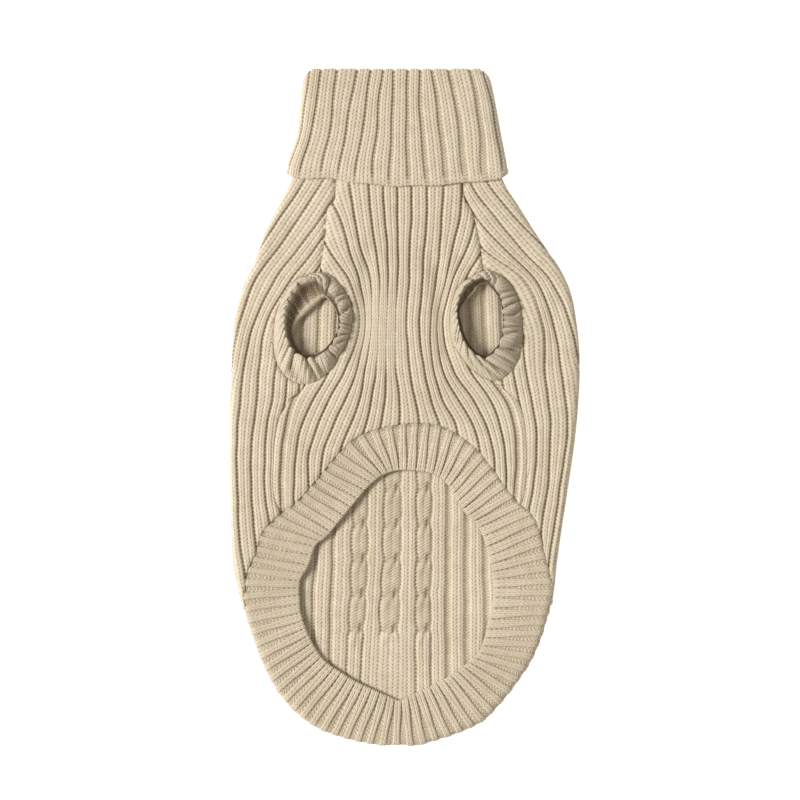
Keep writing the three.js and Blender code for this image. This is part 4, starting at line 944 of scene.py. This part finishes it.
def cuff_piece(name, rows, folds, size, material):
    count = CUFF_STEPS * CUFF_WALES
    turn = even_turns(rows, count, ("rimX",), ("rimY",))
    seam, rim, inner = (plan_at(rows, key, turn) for key in ("seam", "rim", "inner"))
    base = under_top(seam[:, 0], seam[:, 1])
    low = base + size.wall
    centre = rim.mean(axis=0)
    angle = np.degrees(np.arctan2(*(rim - centre).T))
    pocket = np.hypot(*(inner - rim).T)
    deep_pocket = smooth(pocket, 3, 8)
    inward = rim - seam
    inward /= np.hypot(*inward.T)[:, None]

    def place(plan, height):
        return np.column_stack([plan, np.broadcast_to(height, count)])

    def toward(start, end, distance):
        run = end - start
        return start + run * (distance / np.hypot(*run.T))[:, None]

    fine = np.cos(2 * np.pi * np.arange(count) / CUFF_STEPS)
    points, shade = [], []

    def outer_skin(share):
        lean = CUFF_LEAN * (1 + 1.1 * np.sin(np.radians(angle) * 6 + 1))
        lobe, depth = gathered(folds, angle + lean * (1 - share), mix(1.1, 2.8, share))
        grown = smooth(np.array(share), -0.15, 0.5)
        fold = size.gather * depth * (lobe - 0.7) * grown
        fold += 0.14 * depth * np.sin(np.radians(angle) * 53 + 4 * share) + CUFF_FINE * fine
        height = mix(low - 0.4, CUFF_TOP, np.sin(share * np.pi / 2) ** 0.7)
        bulge = np.sin(np.pi * share)
        push = size.gather * depth * (0.8 * (lobe - 0.6) * share**2 - 0.35 * (lobe - 0.4) * bulge)
        points.append(place(mix(seam, rim, share) + inward * push[:, None], height + fold))
        # Painted shade in the creases between gathers and between the fine ribs
        crease = (1 - lobe) ** mix(2.2, 3, share) * np.clip(depth - 0.3, 0, 1) * mix(0.2, 1, grown)
        shade.append(crease + CUFF_SHADE * (1 - fine) * (1 - crease))

    def inner_skin(share, height, stir):
        lobe, depth = gathered(folds, angle)
        fold = size.gather * depth * (lobe - 0.75) * stir
        push = 0.8 * size.gather * depth * (lobe - 0.6) * stir
        waves = 0.6 * np.sin(np.radians(angle) * 23 + 2 * share) + 0.4 * np.sin(np.radians(angle) * 37 + 1)
        ripple = 0.5 * waves * deep_pocket * (1 - share)
        points.append(place(mix(rim, inner, share) + inward * push[:, None], height + fold + ripple))
        # Painted shade down the inner skin from the rim, less on the ledge of a deep pocket, and in the
        # gathers' creases
        shaded = mix(0.9, 1 - 0.25 * waves, deep_pocket) * smooth(np.array(share), 0.05, 0.3)
        shaded *= 1 - 0.75 * deep_pocket * smooth(np.array(share), 0.6, 0.85)
        shade.append(np.clip(np.maximum((1 - lobe) ** 2 * depth * stir, shaded), 0, 1))

    points.append(place(mix(seam, rim, -0.02), base + 0.2))
    shade.append(np.zeros(count))
    for share in CUFF_OUTER:
        outer_skin(share)
    for share, height, stir in zip(*CUFF_INNER.values()):
        inner_skin(share, height, stir)
    for plan, height in (
            (inner, base + 0.3), (toward(inner, rim, np.full(count, 1.1)), base + 0.3),
            (mix(rim, inner, 0.55), 5.4), (toward(rim, seam, np.full(count, 0.9)), 6.4),
            (toward(rim, seam, np.full(count, 1.7)), 9.5),
            (toward(rim, seam, np.full(count, 1.9)), CUFF_TOP - 2.6),
            (mix(seam, rim, 0.5), mix(low, CUFF_TOP, 0.7) - 2.4),
            (toward(seam, rim, np.full(count, CUFF_WALL)), base + 0.2)):
        points.append(place(plan, height))
        # The turned-in edge and the layers inside the wall carry painted shade
        shade.append(np.full(count, 0.8))
    points = catmull(np.stack(points, axis=1), 2)
    painted_shade = np.repeat(np.stack(shade, axis=1), 2, axis=1)
    run = np.linalg.norm(np.roll(points, -1, axis=1) - points, axis=2)
    run = np.concatenate([np.zeros((count, 1)), np.cumsum(run, axis=1)[:, :-1]], axis=1)
    wales = np.broadcast_to((np.arange(count) / count * CUFF_WALES)[:, None], run.shape)
    knit = np.dstack([wales, run / CUFF_ROW])
    shades = {"painted_shade": painted_shade, "purl": np.zeros_like(run)}
    return ring(name, points, knit, shades, material, CUFF_WALES)


def band_piece(size, material):
    count = BAND_RIBS * BAND_STEPS
    turn = even_turns(BAND, count, ("freeX", "outX"), ("freeY", "outY"))
    share = np.arange(count) / BAND_STEPS
    free, out = plan_at(BAND, "free", turn), plan_at(BAND, "out", turn)
    turned = np.clip(around(BAND, "turned", turn), 0, 1)
    width = np.hypot(*(out - free).T)
    way = (out - free) / width[:, None]
    bend = np.maximum(np.pi * turned, SEWN_BEND)
    radius = mix(BAND_FOLD, SEWN_RADIUS, (1 - turned) ** 8)
    sewn = under_top(out[:, 0], out[:, 1]) + size.wall
    top = mix(sewn, 2 * BAND_FOLD, np.minimum(1, turned * 2))
    fold_at = width - BAND_RIM * (1 - turned) - radius * np.sin(np.minimum(bend, np.pi / 2))
    local = np.mod(share + 0.5, 1)
    side = np.minimum(local, 1 - local)
    rib = np.floor(share + 0.5)
    uneven = 1 + 0.15 * np.sin(rib * 2.4) + 0.1 * np.sin(rib * 5.1)
    stack = {"painted_shade": [], "purl": [], "wales": [], "rise": []}

    def profile(growth, shown=1.0):
        """The ribs at a share of the band's width. Their valleys are narrow at the free edge, and
        wide, shallow and purl at the outer edge."""
        open_share = smooth(np.array(growth), 0.1, 0.75)
        wide = mix(0.04, 0.24, open_share)
        shape = rounded(side - wide, 0.14) * (1 - 0.3 * np.exp(-((local - 0.5) / 0.05) ** 2))
        depth = mix(1.4, 0.95, smooth(np.array(growth), 0.2, 0.95))
        stack["rise"].append(uneven - depth * (1 - shape))
        # Painted shade at the edges of the valleys, less where they open out
        stack["painted_shade"].append(shown * np.exp(-((side - wide) / 0.06) ** 2) * mix(0.85, 0.6, open_share))
        stack["purl"].append(shown * open_share * np.clip(1 - side / wide, 0, 1))
        stack["wales"].append(2 * (rib + np.clip((local - wide) / (1 - 2 * wide), 0, 1)))
        return stack["rise"][-1]

    wave = 0.35 * np.sin(turn * 2 * np.pi * 9 + 1) + 0.25 * np.sin(turn * 2 * np.pi * 17)

    def place(flat, height):
        return np.column_stack([free + way * np.broadcast_to(flat, count)[:, None], height])

    def level(part):
        lift = wave * (1 - part) ** 2
        return mix(BAND_EDGE, top, smooth(part, 0, 1)) + lift

    def on_fold(part, inset):
        angle = bend * part
        reach = radius - inset
        return place(fold_at + reach * np.sin(angle), top - radius + reach * np.cos(angle))

    def after_fold(inset, lowest):
        end = on_fold(1, inset)
        run = BAND_RETURN * turned + BAND_RIM
        end[:, :2] += way * (np.cos(bend) * run)[:, None]
        end[:, 2] = np.maximum(lowest, end[:, 2] - np.sin(bend) * run)
        return end

    def fade(part, rise):
        return rise * np.maximum(0, np.cos(0.72 * bend * part))

    points = []
    for inset, drop, shown in zip(*BAND_LIP.values()):
        rise = profile(0)
        # Round the lip only a share of the painted shade shows
        stack["painted_shade"][-1] = stack["painted_shade"][-1] * shown
        points.append(place(inset, level(0) - drop + shown * rise))
    for part in BAND_FACE:
        growth = smooth(np.array(part), 0.0, 0.12)
        rise = profile(0.85 * part)
        height = level(part) + mix(0.5, 1, growth) * rise + 0.2 * (1 - growth)
        points.append(place(part * fold_at, height))
    for part in np.linspace(0, 1, 11):
        rise = profile(0.85 + 0.15 * part)
        sewn_dip = size.dip * 0.3 * (1 - turned) * smooth(part, 0.3, 1)
        # Painted shade in the pits where the valleys end at the seam, by its sewn stitches, varying from
        # rib to rib
        stitches = np.exp(-(side / 0.1) ** 2) * (1 - turned) * smooth(np.array(part), 0.5, 0.9)
        stitches = stitches * (0.5 + 0.35 * np.sin(rib * 3.7))
        stack["painted_shade"][-1] = np.maximum(stack["painted_shade"][-1], stitches)
        points.append(on_fold(part, -fade(part, rise) + sewn_dip))
    last = fade(1, profile(1, 0.5))
    points.append(after_fold(-last + 0.6 * (1 - turned), 0))
    points.append(after_fold(size.wall - 0.2, size.wall))
    for part in (0.75, 0.5, 0.25, 0):
        points.append(on_fold(part, size.wall))
    for part in (0.75, 0.5, 0.25, 0.08):
        points.append(place(part * fold_at, level(part) - size.wall))
    for _ in range(len(points) - len(stack["wales"])):
        profile(0, 0)
    points = np.stack(points, axis=1)
    run = np.linalg.norm(np.diff(points[count // 2], axis=0), axis=1)
    run = np.concatenate([[0], np.cumsum(run)])
    knit = np.dstack([np.stack(stack["wales"], axis=1),
                      np.broadcast_to(run[None] / size.course, points.shape[:2])])
    shades = {key: np.clip(np.stack(stack[key], axis=1), 0, 1) for key in ("painted_shade", "purl")}
    return ring("Hem_band", points, knit, shades, material, 2 * BAND_RIBS)


def collar_piece(size, material):
    half = COLLAR_HEIGHT / 2
    keys = ["left", *[key for key in COLLAR if key.startswith("v")], "right"]
    levels = np.linspace(138, 211, 25)
    open_share = 1 - 0.85 * smooth(levels, 146, 207)
    usual = widths_of(keys, {}, 0.5)
    wide = mix(usual, widths_of(keys, WIDE_COLLAR), open_share[:, None])
    lines = columns_of(COLLAR, keys, levels, 0.0)
    lines[:, 1:-1] += 0.22 * np.sin(levels[:, None] / 5.5 + 2.3 * np.arange(1, len(keys) - 1))
    front = rib_columns(lines, RIB_STEPS, wide)
    spread = np.linspace(1, 0, COLLAR_REAR_RIBS + 1)
    left, right = along(COLLAR, "left", levels), along(COLLAR, "right", levels)
    rear_valleys = mix(left[:, None], right[:, None], spread)
    rear = rib_columns(rear_valleys, RIB_STEPS, widths_of([""] * len(spread), {}))
    middle = len(levels) // 2
    count_front = front.at.shape[1]
    at, height, deep, purl, mark = (
        np.concatenate([getattr(front, key), getattr(rear, key)[:, 1:-1]], axis=1)
        for key in ("at", "height", "deep", "purl", "mark"))
    count = at.shape[1]
    is_front = np.arange(count) < count_front
    facing = np.where(is_front, 1.0, -1.0)
    top_valley = smooth(height[-1], 0, 1)
    near = np.minimum(np.minimum(at[-1] - left[-1], right[-1] - at[-1]) / half, 1)
    top = COLLAR_TOP - COLLAR_CORNER * (1 - near) ** 2 + 1.0 * top_valley
    middle_x = np.array([np.interp(COLLAR_BACK_EDGE, levels, at[:, k]) for k in range(count)])
    edge = along(COLLAR_EDGE, "y", middle_x, "x") + 0.35 * np.sin(middle_x / 4.3)
    edge = np.where(is_front, edge, COLLAR_BACK_EDGE)

    def pick(grid, y):
        place = np.interp(y, levels, np.arange(len(levels)))
        i = np.minimum(place.astype(int), len(levels) - 2)
        k = np.arange(count)
        return mix(grid[i, k], grid[i + 1, k], place - i)

    def section(y, depth, rise=0.0):
        y = np.broadcast_to(y, count).astype(float)
        depth = np.where(is_front, depth, np.maximum(depth, 0))
        low, high = along(COLLAR, "left", y), along(COLLAR, "right", y)
        x = pick(at, y)
        from_end = np.minimum(np.minimum(x - low, high - x), half)
        centre = np.where(x < (low + high) / 2, low + half, high - half)
        level = np.sqrt(np.clip(1 - (1 - from_end / half) ** 2, 0, 1))
        out = half - depth + rise * level
        turned = centre + (x - centre) * out / half
        return np.column_stack([np.where(from_end < half, turned, x), y, half + facing * level * out])

    def ribs(y, fade=1.0):
        shape = 1 - pick(deep, y) * (1 - pick(height, y))
        lowest = np.where(is_front, 0.0, -UNDER_RISE)
        full = np.where(is_front, 1.0, 0.0)
        return (lowest + (full - lowest) * shape) * fade

    sink = 0.35 * np.exp(-((np.arange(count) / count - 0.2) / 0.05) ** 2)
    points, runs, shade, at_y = [], [], [], []
    for rise_y, depth, fade in zip(*COLLAR_HEM.values()):
        y = edge + rise_y
        points.append(section(y, depth, ribs(y, fade)))
        at_y.append(y)
        runs.append(rise_y)
        shade.append(fade)
    for share in np.linspace(0, 1, 38)[1:]:
        y = mix(edge + 5.0, top - 4.0, share)
        points.append(section(y, sink * np.sin(np.pi * share), ribs(y)))
        at_y.append(y)
        runs.append(5 + 60 * share)
        shade.append(1)
    for drop, depth, fade in zip(*COLLAR_FOLD.values()):
        y = top - drop
        points.append(section(y, depth, ribs(y, fade)))
        at_y.append(y)
        runs.append(runs[-1] + 1)
        shade.append(max(fade, 0.4))
    inner = COLLAR_INNER + size.wall
    for share in np.linspace(0, 1, 16):
        y = mix(top - 3.0, NECK_SEAM + 0.3, share)
        points.append(section(y, inner, -0.5 * (1 - ribs(y)) * min(1, 6 * share * (1 - share))))
        runs.append(runs[-1] + 3)
        shade.append(0.6)
    for share in np.linspace(0, 1, 7):
        points.append(section(mix(NECK_SEAM + 0.3, top - 6, share), COLLAR_INNER + 0.1))
        runs.append(runs[-1] + 7)
        shade.append(0)
    for share in np.linspace(0, 1, 7)[1:]:
        points.append(section(mix(top - 5, edge + 0.3, share), COLLAR_WALL))
        runs.append(runs[-1] + 10)
        shade.append(0)
    points = np.stack(points, axis=1)
    wales = np.concatenate([front.wales[middle], front.wales[0, -1] + rear.wales[middle, 1:-1]])
    knit = np.dstack([np.broadcast_to(wales[:, None], points.shape[:2]),
                      np.broadcast_to(np.array(runs)[None] / size.course, points.shape[:2])])
    at_y += [np.full(count, levels[middle])] * (points.shape[1] - len(at_y))
    # Each row's share of the painted shade in the valleys, squared: it fades round the hem and the fold,
    # and some stays on the inner layer
    shade = np.clip(np.array(shade)[None], 0, 1) ** 2
    shades = {"painted_shade": np.stack([pick(mark * deep, y) for y in at_y], axis=1) * shade,
              "purl": np.stack([pick(purl, y) for y in at_y], axis=1) * (shade > 0.5)}
    return ring("Collar", points, knit, shades, material, 4 * (len(keys) - 1))


def add(tree, kind, sockets=(), **settings):
    """Adds a node with its settings. Each socket's value is a number, a colour or another node's
    output."""
    made = tree.nodes.new(kind)
    for key, value in settings.items():
        setattr(made, key, value)
    for key, value in dict(sockets).items():
        if isinstance(value, bpy.types.NodeSocket):
            tree.links.new(value, made.inputs[key])
        else:
            made.inputs[key].default_value = value
    return made


def knit_material(name, light, shade, deep, relief=1.0, hide=0.64):
    """Knitted yarn. Each column of V stitches is two leaning strands that meet in a point painted
    dark as shade, and each purl valley has short bars instead. Its colour is painted lighter on
    the strands and darker between them, and darker still as painted shade in valleys, creases,
    seams and pits. The yarn is a woollen spun one, so it is matt, with loose fibres that catch
    the light at a low angle."""
    material = bpy.data.materials.new(name)
    material.use_nodes = True
    tree = material.node_tree
    tree.nodes.clear()
    knit = add(tree, "ShaderNodeUVMap", uv_map="knit").outputs[0]
    split = add(tree, "ShaderNodeSeparateXYZ", {0: knit})
    found = {"wale": split.outputs[0], "row": split.outputs[1]}
    for key in ("painted_shade", "purl"):
        found[key] = add(tree, "ShaderNodeAttribute", attribute_name=key).outputs["Fac"]
    place = add(tree, "ShaderNodeTexCoord").outputs["Object"]
    for key, scale, detail, roughness in (
            ("wander", WANDER_SCALE, 2.0, 0.5), ("spun", SPUN_SCALE, 2.0, 0.5),
            ("cloud", CLOUD_SCALE, 1.0, 0.5), ("fibre", FIBRE_SCALE, 3.0, 0.7)):
        found[key] = add(tree, "ShaderNodeTexNoise", {
            "Vector": place, "Scale": scale, "Detail": detail, "Roughness": roughness}).outputs[0]
    for key, operation, *values in KNIT_SUMS:
        taken = {i: found.get(value, value) for i, value in enumerate(values)}
        found[key] = add(tree, "ShaderNodeMath", taken, operation=operation).outputs[0]
    # Painted light and shade: the shade colour between the strands and the lit colour on their crowns,
    # with random tone from the yarn's noise
    yarn_colour = add(tree, "ShaderNodeMix", {0: found["lit"], 6: (*shade, 1), 7: (*light, 1)},
                      data_type="RGBA").outputs[2]
    # Painted shade: the darker valley colour is mixed in where the point attribute marks valleys, creases,
    # seams and pits
    painted_shade_share = add(tree, "ShaderNodeMapRange", {
        0: found["frayed"], 1: 0.32, 2: 1.05, 3: 0.0, 4: hide}).outputs[0]
    colour = add(tree, "ShaderNodeMix", {0: painted_shade_share, 6: yarn_colour, 7: (*deep, 1)},
                 data_type="RGBA").outputs[2]
    bump = add(tree, "ShaderNodeBump", {
        "Strength": 0.62 * relief, "Distance": 0.0007, "Height": found["height"]})
    surface = add(tree, "ShaderNodeBsdfPrincipled", {
        "Base Color": colour, "Normal": bump.outputs[0], "Roughness": 0.95, "IOR": 1.5,
        "Specular IOR Level": 0.2, "Sheen Weight": 0.25, "Sheen Roughness": 0.6})
    add(tree, "ShaderNodeOutputMaterial", {"Surface": surface.outputs[0]})
    return material


class SweaterSizes(bpy.types.PropertyGroup):
    """Sizes of the cloth"""
    wall: FloatProperty(name="Cloth", description="Thickness of the cloth between two ribs",
                        default=0.002, subtype="DISTANCE", unit="LENGTH")
    rib_rise: FloatProperty(name="Rib", description="How far a rib stands out from its valleys",
                            default=0.0017, subtype="DISTANCE", unit="LENGTH")
    course: FloatProperty(name="Row of stitches", description="Height of one row of stitches",
                          default=0.0024, subtype="DISTANCE", unit="LENGTH")
    seam_dip: FloatProperty(name="Seam", description="How far the cloth dips at a seam",
                            default=0.0007, subtype="DISTANCE", unit="LENGTH")
    gather_rise: FloatProperty(name="Gathers", description="Rise of a usual gather of a leg cuff",
                               default=0.0024, subtype="DISTANCE", unit="LENGTH")
    mesh_row: FloatProperty(name="Mesh row", description="Distance between rows of the mesh",
                            default=0.0018, subtype="DISTANCE", unit="LENGTH")


class SweaterColours(bpy.types.PropertyGroup):
    """Colours of the yarn, and of the light and shade painted on it"""
    # Painted light and shade: the lit colour goes on the strands' crowns and the shade colour between the
    # strands
    light: FloatVectorProperty(name="Yarn", description="The lit side of the yarn",
                               default=linear("#e5d7c0"), subtype="COLOR")
    shade: FloatVectorProperty(name="Yarn shade", description="Between the strands of the yarn",
                               default=linear("#ab9875"), subtype="COLOR")
    # A darker colour painted as shade in valleys, creases, seams and pits
    deep: FloatVectorProperty(name="Valley", description="Deep between two ribs",
                              default=linear("#735b36"), subtype="COLOR")


class StageSettings(bpy.types.PropertyGroup):
    """The floor, the lights and the camera"""
    floor: FloatVectorProperty(name="Floor", description="Colour of the floor",
                               default=linear("#fcfcfc"), subtype="COLOR")
    key: FloatProperty(name="Key light", description="Power of the soft light at the left",
                       default=229, subtype="POWER", unit="POWER")
    fill: FloatProperty(name="Fill light", description="Power of the broad light above",
                        default=5, subtype="POWER", unit="POWER")
    world: FloatProperty(name="Surroundings", description="Strength of the light from all round",
                         default=0.2)
    glow: FloatProperty(name="Floor glow", description="Light that comes up through the floor, as on "
                        "a photographer's light table", default=0.7)
    frame_width: FloatProperty(name="View", description="Width of the floor that the camera sees",
                               default=0.5, subtype="DISTANCE", unit="LENGTH")
    distance: FloatProperty(name="Camera height", description="Height of the camera over the floor",
                            default=2.4, subtype="DISTANCE", unit="LENGTH")


def yarn(context, name, **more):
    colours = context.scene.sweater_colours
    found = bpy.data.materials.get(name)
    return found or knit_material(name, colours.light, colours.shade, colours.deep, **more)


class SWEATER_OT_back(bpy.types.Operator):
    """Makes the back, which lies underneath and wraps round both sides"""
    bl_idname = "sweater.back"
    bl_label = "Back"

    def execute(self, context):
        piece = back_piece(sizes_of(context), yarn(context, "Woollen yarn in 2 by 2 rib"))
        finished(piece, "back_panel")
        return {"FINISHED"}


class SWEATER_OT_belly(bpy.types.Operator):
    """Makes the belly, with its ribs, seams and creases"""
    bl_idname = "sweater.belly"
    bl_label = "Belly"

    def execute(self, context):
        piece = belly_piece(sizes_of(context), yarn(context, "Woollen yarn in 2 by 2 rib"))
        finished(piece, "belly_panel")
        return {"FINISHED"}


class SWEATER_OT_collar(bpy.types.Operator):
    """Makes the turned-down collar"""
    bl_idname = "sweater.collar"
    bl_label = "Collar"

    def execute(self, context):
        piece = collar_piece(sizes_of(context), yarn(context, "Woollen yarn in doubled rib"))
        finished(piece, "collar")
        return {"FINISHED"}


class SWEATER_OT_cuffs(bpy.types.Operator):
    """Makes the two gathered leg cuffs"""
    bl_idname = "sweater.cuffs"
    bl_label = "Leg cuffs"

    def execute(self, context):
        for name, rows, folds in (("Leg_cuff_left", LEFT_CUFF, LEFT_GATHERS),
                                  ("Leg_cuff_right", RIGHT_CUFF, RIGHT_GATHERS)):
            # The cuffs' material paints a darker shade in their creases and pockets
            material = yarn(context, "Fine elastic knit", relief=1.2, hide=0.92)
            piece = cuff_piece(name, rows, folds, sizes_of(context), material)
            finished(piece, name.lower())
        return {"FINISHED"}


class SWEATER_OT_hem(bpy.types.Operator):
    """Makes the ribbed band round the hem opening"""
    bl_idname = "sweater.hem"
    bl_label = "Hem band"

    def execute(self, context):
        piece = band_piece(sizes_of(context), yarn(context, "Woollen yarn in close rib"))
        finished(piece, "hem_band")
        return {"FINISHED"}


def area_light(name, place, size, power, warmth=(1, 1, 1)):
    """A round soft light that faces the garment."""
    data = bpy.data.lights.new(name, "AREA")
    data.shape = "DISK"
    data.size = size
    data.energy = power
    data.color = warmth
    light = bpy.data.objects.new(name, data)
    light.location = place
    light.rotation_euler = (-Vector(place)).to_track_quat("-Z", "Y").to_euler()
    bpy.context.scene.collection.objects.link(light)


class SWEATER_OT_stage(bpy.types.Operator):
    """Makes the pale floor, the lights and the camera"""
    bl_idname = "sweater.stage"
    bl_label = "Stage"

    def execute(self, context):
        settings = context.scene.sweater_stage
        # Opal acrylic is white and even, and spreads the light that comes from below it
        material = bpy.data.materials.new("Opal acrylic of a light table")
        material.use_nodes = True
        tree = material.node_tree
        tree.nodes.clear()
        surface = add(tree, "ShaderNodeBsdfPrincipled", {
            "Base Color": (*settings.floor, 1), "Roughness": 0.9, "Specular IOR Level": 0.1,
            "Emission Color": (1, 1, 1, 1), "Emission Strength": settings.glow})
        add(tree, "ShaderNodeOutputMaterial", {"Surface": surface.outputs[0]})
        mesh = bpy.data.meshes.new("Floor")
        corners = [(x * FLOOR_REACH, y * FLOOR_REACH, 0) for x, y in ((-1, -1), (1, -1), (1, 1), (-1, 1))]
        mesh.from_pydata(corners, [], [(0, 1, 2, 3)])
        mesh.materials.append(material)
        floor = bpy.data.objects.new("Floor", mesh)
        context.scene.collection.objects.link(floor)
        area_light("Key", KEY_PLACE, KEY_WIDTH, settings.key)
        area_light("Fill", FILL_PLACE, FILL_WIDTH, settings.fill, WARM)
        world = bpy.data.worlds.new("Surroundings")
        world.use_nodes = True
        world.node_tree.nodes["Background"].inputs[0].default_value = (*WARM, 1)
        world.node_tree.nodes["Background"].inputs[1].default_value = settings.world
        context.scene.world = world
        context.scene.view_settings.view_transform = "Standard"
        data = bpy.data.cameras.new("Camera")
        data.sensor_width = SENSOR
        data.lens = SENSOR * settings.distance / settings.frame_width
        data.clip_end = 20
        camera = bpy.data.objects.new("Camera", data)
        camera.location = (*CAMERA_OVER, settings.distance + GARMENT_MIDDLE)
        context.scene.collection.objects.link(camera)
        context.scene.camera = camera
        return {"FINISHED"}


STEPS = (SWEATER_OT_stage, SWEATER_OT_back, SWEATER_OT_belly, SWEATER_OT_collar, SWEATER_OT_cuffs,
         SWEATER_OT_hem)


class SWEATER_PT_panel(bpy.types.Panel):
    """Lists the sweater's sizes, colours and pieces"""
    bl_idname = "SWEATER_PT_panel"
    bl_label = "Knitted dog sweater"
    bl_space_type = "VIEW_3D"
    bl_region_type = "UI"
    bl_category = "Sweater"

    def draw(self, context):
        for group in (context.scene.sweater_sizes, context.scene.sweater_colours,
                      context.scene.sweater_stage):
            column = self.layout.column()
            for name in group.__annotations__:
                column.prop(group, name)
        for step in STEPS:
            self.layout.operator(step.bl_idname)


CLASSES = (SweaterSizes, SweaterColours, StageSettings, *STEPS, SWEATER_PT_panel)


def register():
    for item in CLASSES:
        bpy.utils.register_class(item)
    bpy.types.Scene.sweater_sizes = PointerProperty(type=SweaterSizes)
    bpy.types.Scene.sweater_colours = PointerProperty(type=SweaterColours)
    bpy.types.Scene.sweater_stage = PointerProperty(type=StageSettings)


def unregister():
    for name in ("sweater_sizes", "sweater_colours", "sweater_stage"):
        delattr(bpy.types.Scene, name)
    for item in reversed(CLASSES):
        bpy.utils.unregister_class(item)


def main():
    register()
    for step in STEPS:
        group, name = step.bl_idname.split(".")
        getattr(getattr(bpy.ops, group), name)()


if __name__ == "__main__":
    main()
